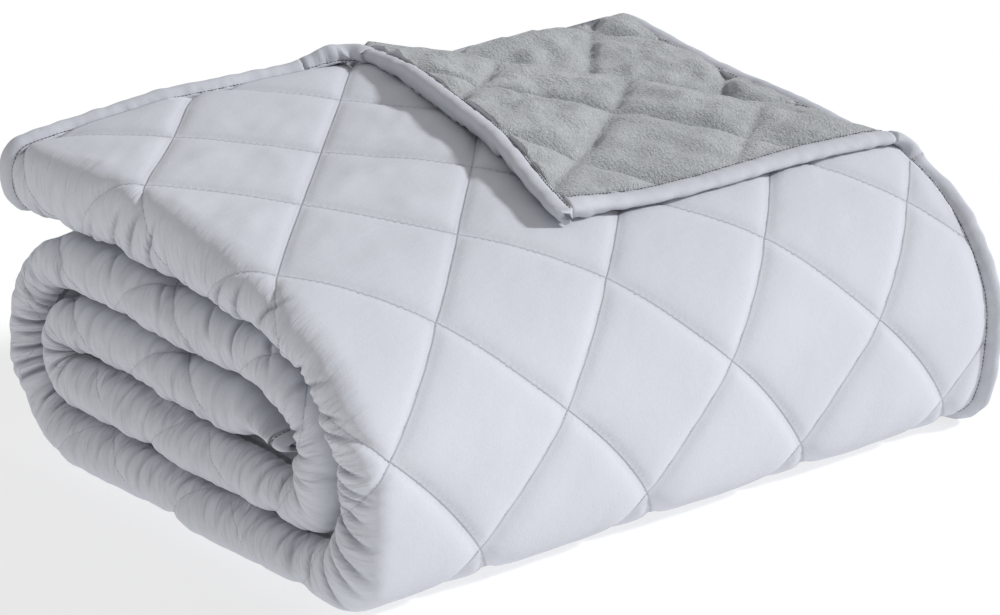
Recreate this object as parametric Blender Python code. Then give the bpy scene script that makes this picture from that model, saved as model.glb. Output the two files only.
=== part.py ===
"""A quilted blanket, folded lengthwise in four, rolled flat in five layers, one corner turned back.

The cloth is one thick quilted sheet: a smooth face, a plush back and bound edges. It is folded
across its width into a strip of four plies, and the strip is then wound flat, so that the pile has
five layers. The strip's plies and the pile's layers lie a little apart. +X runs along the folds,
+Y to the back, where the outer end lies, and +Z up. The origin is under the middle of the pile.
"""

import math

import bmesh
import bpy
from mathutils import Vector

# Sizes in metres
HALF_DIAGONAL = 0.0718       # half the diagonal of a quilted square, 4 inches on a side
SHEET = 0.0093               # thickness of the quilted sheet
PLY_GAP = 0.0012             # air between two plies of the strip
LAYER_GAP = 0.0024           # air between two layers of the pile
PIECE_GAP = 0.0003           # air between the sheet and its binding
TAPE_WIDTH = 0.0145          # binding tape, as seen from one face
TAPE_THICKNESS = 0.0080      # bound edge, with the wadding inside it
CHANNEL_DEPTH = 0.0045       # how deep a quilting seam lies under the crown of its squares
ROLL_RADIUS = 0.0056         # middle of the sheet where the corner turns over

# Places along X and Y, in half diagonals, from the seam crossing at the back left
LEFT = -1.33                 # outer side of the left fold
RIGHT = 6.70                 # bound side edge
LOWER_PLY_REACH = 0.06       # how far the second ply's bound edge stands past the first
OUTER_END = 5.25             # outer end of the strip, on top, at the back
NEAR_TURN = 0.80             # middle of the turns in front
BACK_TURN = 4.29             # middle of the turns at the back
INNER_END = 0.70             # inner end of the strip, in the heart of the pile
FIRST_ROW = 4.18             # the place along Y of seam row 0
ROW_STEP = 1.067             # rows along the top, a little more than half a diagonal apart

# The turned corner, in half diagonals
FLAP_CORNER_X = 1.92
FLAP_CORNER_Y = 0.60
FLAP_SIDE_LEAN = 0.2215      # how far the corner's left side leans per step to the back
CREST = (                    # place along Y, place along X of the fold's outer side
    (0.80, 6.42),
    (1.50, 5.76),
    (3.00, 4.84),
    (5.30, 2.92),
)
CREST_COS = 0.837            # share of the crest's normal that lies along X
FLAP_SEAM_X = 2.95           # a seam crossing on the turned corner
FLAP_SEAM_Y = 1.50
FLAP_SEAM_TURN = math.radians(9.0)

# Where the binding climbs from the first ply to the turned corner:
# place along X, place along Y, rise as a share of the roll, and the tape's outward direction
SIDE_CLIMB = (
    (6.610, 0.440, 0.00, (1.00, 0.00, 0.00)),
    (6.620, 0.540, 0.12, (0.90, -0.20, 0.40)),
    (6.600, 0.630, 0.50, (0.35, -0.50, 0.80)),
    (6.520, 0.690, 0.88, (-0.10, -0.85, 0.50)),
    (6.380, 0.694, 1.00, (0.00, -1.00, 0.00)),
)
END_CLIMB = (
    (2.860, 4.900, 1.00, (-1.00, 0.22, 0.00)),
    (2.800, 5.115, 1.00, (-0.70, 0.70, 0.00)),
    (2.890, 5.150, 1.00, (-0.10, 1.00, 0.00)),
    (2.945, 5.150, 0.85, (0.00, 1.00, 0.00)),
    (2.970, 5.150, 0.50, (0.00, 1.00, 0.00)),
    (2.945, 5.150, 0.15, (0.00, 1.00, 0.00)),
    (2.890, 5.150, 0.00, (0.00, 1.00, 0.00)),
)

# Rows of the quilting round the turn in front: row, angle from the top
NEAR_ROWS = (
    (3.168, 0.0),
    (4.0, 32.0),
    (5.0, 80.7),
    (6.0, 130.8),
    (7.0, 180.0),
)

# How the pile settles: place along Y, height as a share of the even pile
SETTLE = (
    (-0.9, 0.862),
    (-0.1, 0.867),
    (1.0, 0.935),
    (2.0, 1.005),
    (3.0, 1.045),
    (4.2, 1.070),
    (5.5, 1.075),
)
FOOT_POWER = 4.5             # 2 is a round front turn; more makes its foot squarer

# The outer end stands up off the pile: place along X, rise in half diagonals
END_RISE = (
    (-1.05, 0.00),
    (0.50, 0.19),
    (3.00, 0.22),
    (6.80, 0.34),
)
RISE_START = 2.9             # where along Y the rise begins
RISE_LENGTH = 2.4

PITCH = SHEET + PLY_GAP
LAYER = 4 * SHEET + 3 * PLY_GAP
LAYER_PITCH = LAYER + LAYER_GAP
PILE = 5 * LAYER + 4 * LAYER_GAP
FOLD_X = LEFT * HALF_DIAGONAL + 2 * PITCH - PLY_GAP / 2
SIDE_X = RIGHT * HALF_DIAGONAL - TAPE_WIDTH - PIECE_GAP
LOWER_SIDE_X = SIDE_X + LOWER_PLY_REACH * HALF_DIAGONAL
END_Y = OUTER_END * HALF_DIAGONAL - TAPE_WIDTH - PIECE_GAP
NEAR_Y = NEAR_TURN * HALF_DIAGONAL
BACK_Y = BACK_TURN * HALF_DIAGONAL
INNER_Y = INNER_END * HALF_DIAGONAL + TAPE_WIDTH + PIECE_GAP
FINE = 0.25                  # spacing of the points on the faces that show, in half diagonals
COARSE = 0.5                 # and inside the pile

COLOURS = {
    "smooth_cloth": (0.62, 0.64, 0.70),
    "tape_cloth": (0.58, 0.60, 0.65),
}


def interpolate(table, place):
    """Read a two-column table between its rows."""
    if place <= table[0][0]:
        return table[0][1]
    for (low, low_value), (high, high_value) in zip(table, table[1:]):
        if place <= high:
            share = (place - low) / (high - low)
            return low_value + share * (high_value - low_value)
    return table[-1][1]


def smooth_step(value):
    value = min(max(value, 0.0), 1.0)
    return value * value * (3 - 2 * value)


def settle(x, y, z):
    """Move a point of the even pile to where the soft pile holds it."""
    across, back, height = x / HALF_DIAGONAL, y / HALF_DIAGONAL, z / HALF_DIAGONAL
    middle = PILE / 2 / HALF_DIAGONAL
    ahead, below = NEAR_TURN - back, middle - height
    if ahead > 0 and below > 0:
        reach = math.hypot(ahead, below)
        square = (ahead ** FOOT_POWER + below ** FOOT_POWER) ** (1 / FOOT_POWER)
        grow = 1 + (reach / square - 1) * min(reach / middle, 1)
        back = NEAR_TURN - ahead * grow
        height = middle - below * grow
    height *= sum(interpolate(SETTLE, back + step) for step in (-0.4, 0.0, 0.4)) / 3
    if z > 4 * LAYER_PITCH - LAYER_GAP / 2:
        height += interpolate(END_RISE, across) * smooth_step((back - RISE_START) / RISE_LENGTH)
    return (across * HALF_DIAGONAL, back * HALF_DIAGONAL, height * HALF_DIAGONAL)


def channel(across, row):
    """Depth of the sheet's face under the crown of its quilted squares."""
    crowns = []
    for place in (row + across, row - across):
        edge = abs(math.sin(math.pi * place / 2))
        crowns.append(1 - (1 - edge) ** 2.4)
    return CHANNEL_DEPTH * (1 - crowns[0] * crowns[1])


def flap_pattern(across, back):
    """Where a point of the turned corner lies in the quilting."""
    x = across - FLAP_SEAM_X
    y = back - FLAP_SEAM_Y
    cos, sin = math.cos(FLAP_SEAM_TURN), math.sin(FLAP_SEAM_TURN)
    return x * cos - y * sin, x * sin + y * cos


def layer_z(level):
    return LAYER / 2 + level * LAYER_PITCH


class Station:
    """A place on the strip's middle line: its spot, its outward direction and its seam row."""

    def __init__(self, y, z, out_y, out_z, row, fine):
        self.y, self.z = y, z
        self.out_y, self.out_z = out_y, out_z
        self.row = row
        self.fine = fine

    def point(self, x, out):
        return settle(x, self.y + out * self.out_y, self.z + out * self.out_z)


def straight(stations, level, start, end, spacing, out):
    count = max(1, round(abs(end - start) / (spacing * HALF_DIAGONAL)))
    row = stations[-1].row
    for step in range(1, count + 1):
        y = start + (end - start) * step / count
        stations.append(Station(y, layer_z(level), 0, out, row + abs(y - start) / HALF_DIAGONAL, False))


def turn(stations, middle, low, high, count, side):
    """A half turn from one level to another; side is -1 in front and 1 at the back."""
    middle_z = (layer_z(low) + layer_z(high)) / 2
    radius = (layer_z(high) - layer_z(low)) / 2
    row = stations[-1].row
    start = math.pi / 2 if side < 0 else -math.pi / 2
    for step in range(1, count + 1):
        angle = start + math.pi * step / count
        y = middle + radius * math.cos(angle)
        z = middle_z + radius * math.sin(angle)
        length = radius * math.pi * step / count
        stations.append(Station(y, z, math.cos(angle), math.sin(angle), row + length / HALF_DIAGONAL, False))


def wind_strip():
    """The strip's stations from its outer end to its inner one."""
    top = layer_z(4)
    stations = []
    first = (FIRST_ROW - END_Y / HALF_DIAGONAL) / ROW_STEP
    last = (FIRST_ROW - NEAR_TURN) / ROW_STEP
    rows = [first] + [step * FINE for step in range(math.ceil(first / FINE + 0.4), 13)] + [last]
    for row in rows:
        y = (FIRST_ROW - row * ROW_STEP) * HALF_DIAGONAL
        stations.append(Station(y, top, 0, 1, row, True))
    middle_z = (top + layer_z(0)) / 2
    radius = (top - layer_z(0)) / 2
    for step in range(14, 29):
        row = step * FINE
        angle = math.radians(90 + interpolate(NEAR_ROWS, row))
        y = NEAR_Y + radius * math.cos(angle)
        z = middle_z + radius * math.sin(angle)
        stations.append(Station(y, z, math.cos(angle), math.sin(angle), row, row < 6.6))
    straight(stations, 0, NEAR_Y, BACK_Y, COARSE, -1)
    turn(stations, BACK_Y, 0, 3, 12, 1)
    straight(stations, 3, BACK_Y, NEAR_Y, COARSE, 1)
    turn(stations, NEAR_Y, 1, 3, 8, -1)
    straight(stations, 1, NEAR_Y, BACK_Y, COARSE, -1)
    turn(stations, BACK_Y, 1, 2, 6, 1)
    straight(stations, 2, BACK_Y, INNER_Y, COARSE, 1)
    return stations


def arc(middle_x, middle_out, radius, start, end, count):
    """Points round a fold of the strip, as places along X and outward."""
    points = []
    for step in range(count + 1):
        angle = math.radians(start + (end - start) * step / count)
        points.append((middle_x + radius * math.cos(angle), middle_out + radius * math.sin(angle)))
    return points


def columns(start, end, spacing):
    """Places along X from start to end, on the seams' own spacing between the two."""
    low, high = sorted((start, end))
    unit = spacing * HALF_DIAGONAL
    inner = [step * unit for step in range(math.ceil(low / unit), math.floor(high / unit) + 1)]
    inner = [x for x in inner if low + 0.35 * unit < x < high - 0.35 * unit]
    places = [low] + inner + [high]
    return places if start < end else places[::-1]


def bends(start, end):
    """Places along X from start to end, with those where the rise of the outer end bends."""
    low, high = sorted((start, end))
    inner = [across * HALF_DIAGONAL for across, _ in END_RISE]
    places = [low] + [x for x in inner if low + 0.001 < x < high - 0.001] + [high]
    return places if start < end else places[::-1]


def crest_x(y):
    """Middle of the turned corner's roll, along X."""
    outer = interpolate(CREST, y / HALF_DIAGONAL) * HALF_DIAGONAL
    return outer - (ROLL_RADIUS + SHEET / 2) / CREST_COS


def flap_side_x(y):
    """Left side of the turned corner's sheet, inside its binding."""
    outer = FLAP_CORNER_X + (y / HALF_DIAGONAL - FLAP_CORNER_Y) * FLAP_SIDE_LEAN
    return outer * HALF_DIAGONAL + TAPE_WIDTH + PIECE_GAP


class Row:
    """One face of the sheet at one station: a line of points, each with a rising key."""

    def __init__(self):
        self.keys = []
        self.spots = []
        self.depths = []

    def add(self, key, spot, depth=0.0):
        if self.keys and key <= self.keys[-1] + 1e-6:
            return
        self.keys.append(key)
        self.spots.append(spot)
        self.depths.append(depth)


def ply_key(segment, x, start, end):
    return segment + (x - start) / (end - start) * 0.98 + 0.01


def top_level(face):
    return 1.5 * PITCH + face * SHEET / 2


def add_turned_corner(station, smooth, plush):
    """The part of the first ply that is turned back over itself, plush side up."""
    y = station.y
    roll_x = crest_x(y)
    side_x = min(flap_side_x(y), roll_x - 0.004)
    span = (FLAP_CORNER_X * HALF_DIAGONAL, SIDE_X)
    height = top_level(0) + 2 * ROLL_RADIUS
    for x in columns(side_x, roll_x, FINE):
        depth = 0.0
        if x > side_x:
            across, row = flap_pattern(x / HALF_DIAGONAL, y / HALF_DIAGONAL)
            depth = channel(across, row)
        plush.add(ply_key(-2, x, *span), station.point(x, height + SHEET / 2 - depth), depth)
    for x in (side_x, roll_x):
        smooth.add(ply_key(-2, x, *span), station.point(x, height - SHEET / 2))
    middle = top_level(0) + ROLL_RADIUS
    for row, radius, count in ((plush, ROLL_RADIUS + SHEET / 2, 5), (smooth, ROLL_RADIUS - SHEET / 2, 3)):
        for step in range(1, count):
            angle = math.radians(90 - 180 * step / count)
            x = roll_x + radius * math.cos(angle) / CREST_COS
            row.add(-1 + step / count, station.point(x, middle + radius * math.sin(angle)))
    return roll_x


def add_plies(station, smooth, plush, start_x, turned):
    """The four plies and their three folds, on both faces of the sheet."""
    half = SHEET / 2
    span = (SIDE_X, FOLD_X)
    spacing = FINE if station.fine else COARSE
    shows = station.fine or station.out_y > 0.2
    ends = bends if turned else (lambda start, end: (start, end))
    places = columns(start_x, FOLD_X, spacing) if shows else (start_x, FOLD_X)
    for x in places:
        depth = channel(x / HALF_DIAGONAL, station.row) if shows else 0.0
        smooth.add(ply_key(0, x, *span), station.point(x, top_level(1) - depth), depth)
    for x in ends(start_x, FOLD_X):
        plush.add(ply_key(0, x, *span), station.point(x, top_level(-1)))

    radius = 1.5 * PITCH + half
    count = 8 if station.fine else 6
    points = arc(FOLD_X, 0, radius, 90, 270, count)
    for step, (x, out) in enumerate(points):
        across = FOLD_X - math.pi * radius * step / count
        depth = channel(across / HALF_DIAGONAL, station.row) * math.sin(math.pi * step / count)
        share = 1 - depth / radius
        smooth.add(1 + step / count, station.point(FOLD_X + (x - FOLD_X) * share, out * share), depth)
    for step, (x, out) in enumerate(arc(FOLD_X, 0, 1.5 * PITCH - half, 90, 270, 4)):
        plush.add(1 + step / 4, station.point(x, out))

    fold_x = LOWER_SIDE_X + TAPE_WIDTH / 2 - PITCH
    for x in ends(FOLD_X, fold_x):
        smooth.add(ply_key(2, x, FOLD_X, fold_x), station.point(x, -1.5 * PITCH - half))
        plush.add(ply_key(2, x, FOLD_X, fold_x), station.point(x, -1.5 * PITCH + half))
    for step, (x, out) in enumerate(arc(fold_x, -PITCH, PITCH / 2 + half, -90, 90, 5)):
        smooth.add(3 + step / 5, station.point(x, out))
    for step, (x, out) in enumerate(arc(fold_x, -PITCH, PITCH / 2 - half, -90, 90, 2)):
        plush.add(3 + step / 2, station.point(x, out))
    for x in ends(fold_x, FOLD_X):
        smooth.add(ply_key(4, x, fold_x, FOLD_X), station.point(x, -PITCH / 2 + half))
        plush.add(ply_key(4, x, fold_x, FOLD_X), station.point(x, -PITCH / 2 - half))
    for step, (x, out) in enumerate(arc(FOLD_X, 0, PITCH / 2 - half, 270, 90, 2)):
        smooth.add(5 + step / 2, station.point(x, out))
    for step, (x, out) in enumerate(arc(FOLD_X, 0, PITCH / 2 + half, 270, 90, 3)):
        plush.add(5 + step / 3, station.point(x, out))
    for x in ends(FOLD_X, LOWER_SIDE_X):
        smooth.add(ply_key(6, x, FOLD_X, LOWER_SIDE_X), station.point(x, PITCH / 2 - half))
    bare_x = start_x if turned else LOWER_SIDE_X
    places = (FOLD_X, LOWER_SIDE_X)
    if turned:
        places = bends(FOLD_X, bare_x)[:-1] + columns(bare_x, LOWER_SIDE_X, FINE)
    for x in places:
        depth = 0.0
        if turned and x > bare_x:
            depth = channel(x / HALF_DIAGONAL, station.row + 0.6)
        plush.add(ply_key(6, x, FOLD_X, LOWER_SIDE_X), station.point(x, PITCH / 2 + half - depth), depth)


class Shell:
    """A closed surface, made of rows of points that are stitched to each other."""

    def __init__(self):
        self.spots = []
        self.depths = []
        self.faces = []

    def place(self, row):
        start = len(self.spots)
        self.spots.extend(row.spots)
        self.depths.extend(row.depths)
        return [(key, start + number) for number, key in enumerate(row.keys)]

    def face(self, *corners):
        if len(set(corners)) > 2:
            self.faces.append(corners)

    def stitch(self, first, second):
        """Join two lines of points by their keys, with the quads' diagonals along the seams."""
        near, far = 0, 0
        while near < len(first) - 1 or far < len(second) - 1:
            if near == len(first) - 1 or far == len(second) - 1:
                step_near = far == len(second) - 1
            elif abs(first[near + 1][0] - second[far + 1][0]) < 1e-4:
                along = self.depths[first[near + 1][1]] + self.depths[second[far][1]]
                against = self.depths[first[near][1]] + self.depths[second[far + 1][1]]
                step_near = along >= against
            else:
                step_near = first[near + 1][0] < second[far + 1][0]
            if step_near:
                self.face(first[near][1], first[near + 1][1], second[far][1])
                near += 1
            else:
                self.face(first[near][1], second[far + 1][1], second[far][1])
                far += 1

    def build(self, name, colour, roughness):
        mesh = bpy.data.meshes.new(name)
        mesh.from_pydata(self.spots, [], self.faces)
        cage = bmesh.new()
        cage.from_mesh(mesh)
        bmesh.ops.recalc_face_normals(cage, faces=cage.faces)
        cage.to_mesh(mesh)
        cage.free()
        return make_object(name, mesh, colour, roughness)


def make_object(name, mesh, colour, roughness):
    item = bpy.data.objects.new(name, mesh)
    material = bpy.data.materials.new(name + "_cloth")
    material.use_nodes = True
    shader = material.node_tree.nodes["Principled BSDF"]
    shader.inputs["Base Color"].default_value = (*colour, 1)
    shader.inputs["Roughness"].default_value = roughness
    shader.inputs["Metallic"].default_value = 0
    mesh.materials.append(material)
    return item


def build_quilt(stations):
    """The whole sheet, wound station by station, with its two ends closed."""
    shell = Shell()
    last = None
    for station in stations:
        turned = station.fine and station.out_z == 1 and station.y > NEAR_Y - 1e-6
        smooth, plush = Row(), Row()
        start_x = add_turned_corner(station, smooth, plush) if turned else SIDE_X
        corner = len(smooth.keys), len(plush.keys)
        add_plies(station, smooth, plush, start_x, turned)
        faces = [shell.place(smooth), shell.place(plush)]
        if last is None:
            shell.stitch(faces[0], faces[1])
        else:
            older, older_corner, older_turned = last
            if older_turned and not turned:
                shell.stitch(older[0][:older_corner[0] + 1], older[1][:older_corner[1] + 1])
                older = [line[cut:] for line, cut in zip(older, older_corner)]
            for line, older_line in zip(faces, older):
                shell.stitch(older_line, line)
            for end in (0, -1):
                shell.face(older[0][end][1], faces[0][end][1], faces[1][end][1], older[1][end][1])
        last = faces, corner, turned
    shell.stitch(last[0][0], last[0][1])
    return shell


def bar(name, path):
    """A bound edge: a rounded bar along a path of middle, outward and upright directions."""
    width, thick = TAPE_WIDTH / 2, TAPE_THICKNESS / 2
    section = ((-1.0, -0.7), (-1.0, 0.7), (0.3, 1.0), (1.0, 0.35), (1.0, -0.35), (0.3, -1.0))
    shell = Shell()
    rings = []
    for middle, outward, upright in path:
        ring = []
        for side, rise in section:
            spot = Vector(middle) + side * width * Vector(outward) + rise * thick * Vector(upright)
            ring.append(len(shell.spots))
            shell.spots.append(settle(*spot))
        rings.append(ring)
    for ring, following in zip(rings, rings[1:]):
        for corner in range(len(ring)):
            beside = (corner + 1) % len(ring)
            shell.face(ring[corner], ring[beside], following[beside])
            shell.face(ring[corner], following[beside], following[corner])
    shell.face(*rings[0])
    shell.face(*rings[-1])
    return shell.build(name, COLOURS["tape_cloth"], 0.8)


def climb(table, level_of):
    """The binding's way between the first ply and the turned corner."""
    places = []
    for across, back, rise, outward in table:
        y = back * HALF_DIAGONAL
        z = level_of(y) + rise * 2 * ROLL_RADIUS
        places.append((Vector((across * HALF_DIAGONAL, y, z)), Vector(outward).normalized()))
    path = []
    for number, (middle, outward) in enumerate(places):
        before = places[max(number - 1, 0)][0]
        after = places[min(number + 1, len(places) - 1)][0]
        upright = (after - before).cross(outward).normalized()
        path.append((middle, outward, upright))
    return path


def first_ply_z(y):
    """Height of the first ply's middle, on top and into the turn in front."""
    radius = (layer_z(4) - layer_z(0)) / 2 + top_level(0)
    into = max(NEAR_Y - y, 0.0)
    return layer_z(4) + top_level(0) - radius + math.sqrt(radius * radius - into * into)


def turned_over(path):
    return [(middle, outward, -Vector(upright)) for middle, outward, upright in path]


def fold_path(station, y, start_x, end_x):
    """The middle of the strip's four plies and three folds, from the first ply to the second."""
    outward = (0, 1 if y > station.y else -1, 0)
    fold_x = LOWER_SIDE_X + TAPE_WIDTH / 2 - PITCH
    rows = [(x, 1.5 * PITCH, 0, 1) for x in bends(start_x, FOLD_X)[:-1]]
    for x, out in arc(FOLD_X, 0, 1.5 * PITCH, 90, 270, 6):
        rows.append((x, out, (x - FOLD_X) / (1.5 * PITCH), out / (1.5 * PITCH)))
    rows += [(x, -1.5 * PITCH, 0, -1) for x in bends(FOLD_X, fold_x)[1:-1]]
    for x, out in arc(fold_x, -PITCH, PITCH / 2, -90, 90, 5):
        rows.append((x, out, (x - fold_x) / (PITCH / 2), (out + PITCH) / (PITCH / 2)))
    rows += [(x, -PITCH / 2, 0, 1) for x in bends(fold_x, FOLD_X)[1:-1]]
    for x, out in arc(FOLD_X, 0, PITCH / 2, 270, 90, 5):
        rows.append((x, out, (FOLD_X - x) / (PITCH / 2), -out / (PITCH / 2)))
    rows += [(x, PITCH / 2, 0, -1) for x in bends(FOLD_X, end_x)[1:]]
    return [((x, y, station.z + out), outward, (up_x, 0, up_z)) for x, out, up_x, up_z in rows]


def side_path(stations, x, out):
    """The bound side of one ply, wound with the strip."""
    path = []
    for station in stations:
        middle = (x, station.y + out * station.out_y, station.z + out * station.out_z)
        path.append((middle, (1, 0, 0), (0, station.out_y, station.out_z)))
    return path


def build_bindings(stations):
    """Four strips of tape: the two ends of the sheet and its two sides."""
    beside = PIECE_GAP + TAPE_WIDTH / 2
    flap_z = layer_z(4) + top_level(0) + 2 * ROLL_RADIUS
    lean = Vector((-1.0, FLAP_SIDE_LEAN, 0.0)).normalized()

    flap_side = []
    for step in range(9):
        y = (FLAP_CORNER_Y + (4.65 - FLAP_CORNER_Y) * step / 8) * HALF_DIAGONAL
        flap_side.append(((flap_side_x(y) - beside, y, flap_z), lean, (0, 0, -1)))
    end_y = END_Y + beside
    around = climb(END_CLIMB, lambda y: layer_z(4) + top_level(0))
    end = fold_path(stations[0], end_y, 2.6 * HALF_DIAGONAL, LOWER_SIDE_X + PIECE_GAP + TAPE_WIDTH)
    outer_end = bar("binding_outer_end", flap_side + around + end)

    y = NEAR_Y - beside
    flap_front = []
    start = flap_side_x(y) + PIECE_GAP
    for x in columns(start, 6.2 * HALF_DIAGONAL, 2 * FINE):
        outward = (-FLAP_SIDE_LEAN, -1, 0) if x == start else (0, -1, 0)
        flap_front.append(((x, y, flap_z), outward, (0, 0, 1)))
    around = climb(SIDE_CLIMB, first_ply_z)[::-1]
    wound = [station for station in stations if station.row >= 3.74]
    upper = flap_front + turned_over(around) + turned_over(side_path(wound, SIDE_X + beside, 1.5 * PITCH))
    upper_side = bar("binding_upper_side", upper)

    lower = side_path(stations, LOWER_SIDE_X + beside, PITCH / 2)
    lower_side = bar("binding_lower_side", lower)

    inner_y = INNER_Y - beside
    corner_x = SIDE_X + PIECE_GAP + TAPE_WIDTH
    inner = fold_path(stations[-1], inner_y, corner_x, LOWER_SIDE_X + PIECE_GAP + TAPE_WIDTH)
    inner_end = bar("binding_inner_end", inner)
    return [outer_end, upper_side, lower_side, inner_end]


def stand_on_origin(items):
    """Move the pieces so that the middle of the pile's foot is the origin."""
    spots = [vertex.co for item in items for vertex in item.data.vertices]
    low = [min(spot[axis] for spot in spots) for axis in range(3)]
    high = [max(spot[axis] for spot in spots) for axis in range(3)]
    shift = Vector((-(low[0] + high[0]) / 2, -(low[1] + high[1]) / 2, -low[2]))
    for item in items:
        for vertex in item.data.vertices:
            vertex.co += shift


def main():
    for item in list(bpy.data.objects):
        bpy.data.objects.remove(item, do_unlink=True)
    collection = bpy.data.collections.new("folded_blanket")
    bpy.context.scene.collection.children.link(collection)
    stations = wind_strip()
    quilt = build_quilt(stations).build("quilt", COLOURS["smooth_cloth"], 0.85)
    pieces = [quilt] + build_bindings(stations)
    stand_on_origin(pieces)
    for piece in pieces:
        collection.objects.link(piece)


main()
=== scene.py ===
"""Looks of a quilted blanket, folded in four, rolled flat in five layers, one corner turned back.

The sheet is modelled again at full detail over the solid's own folds: puffed diamonds, sewn
channels, pleats round the folds and turns, bound edges, stitches, and cloth and plush finishes.
Lengths are in metres, or in half diagonals of a quilted square where a name or comment says so.
"""

import math

import bmesh
import bpy
import numpy as np
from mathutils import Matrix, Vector


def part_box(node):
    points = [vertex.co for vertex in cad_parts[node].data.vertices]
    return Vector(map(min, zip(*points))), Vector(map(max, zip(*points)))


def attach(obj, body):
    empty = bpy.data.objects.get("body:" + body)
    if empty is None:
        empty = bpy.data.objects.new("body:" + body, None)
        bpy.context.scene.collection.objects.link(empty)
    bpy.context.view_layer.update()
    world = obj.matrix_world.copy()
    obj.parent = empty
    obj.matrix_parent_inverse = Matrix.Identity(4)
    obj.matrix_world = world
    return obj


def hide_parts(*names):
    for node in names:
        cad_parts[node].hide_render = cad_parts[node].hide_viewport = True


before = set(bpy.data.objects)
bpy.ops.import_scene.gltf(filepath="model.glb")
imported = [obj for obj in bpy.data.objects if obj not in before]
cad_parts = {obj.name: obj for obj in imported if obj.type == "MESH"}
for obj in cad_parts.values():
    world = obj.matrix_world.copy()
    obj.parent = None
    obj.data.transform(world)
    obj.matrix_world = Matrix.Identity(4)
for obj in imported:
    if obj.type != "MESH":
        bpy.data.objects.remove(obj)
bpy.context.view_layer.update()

# Sizes of the sheet and its folds, as in the solids, apart from the thicker tape
HALF_DIAGONAL = 0.0718
SHEET = 0.0093
PLY_GAP = 0.0012
LAYER_GAP = 0.0024
PIECE_GAP = 0.0003
TAPE_WIDTH = 0.0145
TAPE_THICKNESS = 0.0082
ROLL_RADIUS = 0.0056

# Places along X and Y, in half diagonals, from the seam crossing at the back left
LEFT = -1.33
RIGHT = 6.70
LOWER_PLY_REACH = 0.06
OUTER_END = 5.25
NEAR_TURN = 0.80
BACK_TURN = 4.29
INNER_END = 0.70
FIRST_ROW = 4.18
ROW_STEP = 1.067
FLAP_CORNER_X = 1.92
FLAP_CORNER_Y = 0.60
FLAP_SIDE_LEAN = 0.2215
CREST = ((0.80, 6.42), (1.50, 5.76), (3.00, 4.84), (5.30, 2.92))
CREST_COS = 0.837
FLAP_SEAM_X = 2.95
FLAP_SEAM_Y = 1.50
FLAP_SEAM_TURN = math.radians(9.0)
NEAR_ROWS = ((3.168, 0.0), (4.0, 32.0), (5.0, 78.7), (6.0, 124.5), (7.0, 180.0))
SETTLE = ((-0.9, 0.862), (-0.1, 0.867), (1.0, 0.935), (2.0, 1.005), (3.0, 1.045), (4.2, 1.070), (5.5, 1.075))
FOOT_POWER = 4.5
END_RISE = ((-1.05, 0.00), (0.50, 0.19), (3.00, 0.22), (6.80, 0.34))
RISE_START = 2.9
RISE_LENGTH = 2.4

# The tape's way up to the turned corner: place across and back in half diagonals, share of the
# roll's height, and the direction from the sewn edge to the outer edge
SIDE_CLIMB = (
    (6.610, 0.440, 0.00, (1.00, 0.00, 0.00)),
    (6.620, 0.540, 0.12, (0.90, -0.20, 0.40)),
    (6.600, 0.630, 0.50, (0.35, -0.50, 0.80)),
    (6.520, 0.690, 0.88, (-0.10, -0.85, 0.50)),
    (6.380, 0.694, 1.00, (0.00, -1.00, 0.00)),
)
END_CLIMB = (
    (2.905, 4.740, 1.00, (-0.97, 0.22, 0.00)),
    (2.850, 4.885, 1.04, (-0.93, 0.22, 0.28)),
    (2.760, 5.000, 1.08, (-0.72, 0.30, 0.62)),
    (2.640, 5.070, 1.02, (-0.35, 0.40, 0.85)),
    (2.500, 5.105, 0.86, (-0.08, 0.55, 0.83)),
    (2.380, 5.125, 0.62, (0.00, 0.76, 0.65)),
    (2.260, 5.135, 0.42, (0.00, 0.86, 0.51)),
    (2.140, 5.140, 0.30, (0.00, 0.90, 0.44)),
)
CREST_STUB = (2.95, 2.34)    # the rest of the bound end, under the roll, from and to
# Across the rolled tape: place along it in half diagonals, share of the thickness
ROLL_CREASES = ((4.50, 0.26), (4.68, 0.40), (4.84, 0.44), (4.99, 0.30))
ROLL_CREASE_WIDTH = 0.028
ROLL_SWELL = (4.74, 0.34, 0.75)     # place along the tape, spread, and how much thicker
TAPE_STEP = 0.0030
END_TILT = math.radians(26.0)
TILTED_PART = 36             # this many places along the end's path are turned up
TILT_EASING = 8
BARE_TILT = 1.5              # under the turned corner the tape hangs down, this much of the tilt
BARE_START = 2.6
BARE_EASING = 0.5
# How far the bound side is rolled up on the near turn: seam row, degrees
SIDE_TILT = ((3.70, 0.0), (4.15, 34.0), (5.60, 38.0), (6.40, 30.0), (6.90, 0.0))

PITCH = SHEET + PLY_GAP
LAYER = 4 * SHEET + 3 * PLY_GAP
LAYER_PITCH = LAYER + LAYER_GAP
PILE = 5 * LAYER + 4 * LAYER_GAP
HALF = SHEET / 2
FOLD_X = LEFT * HALF_DIAGONAL + 2 * PITCH - PLY_GAP / 2
FOLD_A = FOLD_X / HALF_DIAGONAL
SIDE_X = RIGHT * HALF_DIAGONAL - TAPE_WIDTH - PIECE_GAP
LOWER_SIDE_X = SIDE_X + LOWER_PLY_REACH * HALF_DIAGONAL
RIGHT_FOLD_X = LOWER_SIDE_X + TAPE_WIDTH / 2 - PITCH
END_Y = OUTER_END * HALF_DIAGONAL - TAPE_WIDTH - PIECE_GAP
NEAR_Y = NEAR_TURN * HALF_DIAGONAL
BACK_Y = BACK_TURN * HALF_DIAGONAL
INNER_Y = INNER_END * HALF_DIAGONAL + TAPE_WIDTH + PIECE_GAP
BESIDE = PIECE_GAP + TAPE_WIDTH / 2
FOLD_RADIUS = 1.5 * PITCH + HALF
FIRST_STATION = (FIRST_ROW - END_Y / HALF_DIAGONAL) / ROW_STEP
FRONT_START = (FIRST_ROW - NEAR_TURN) / ROW_STEP
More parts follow.
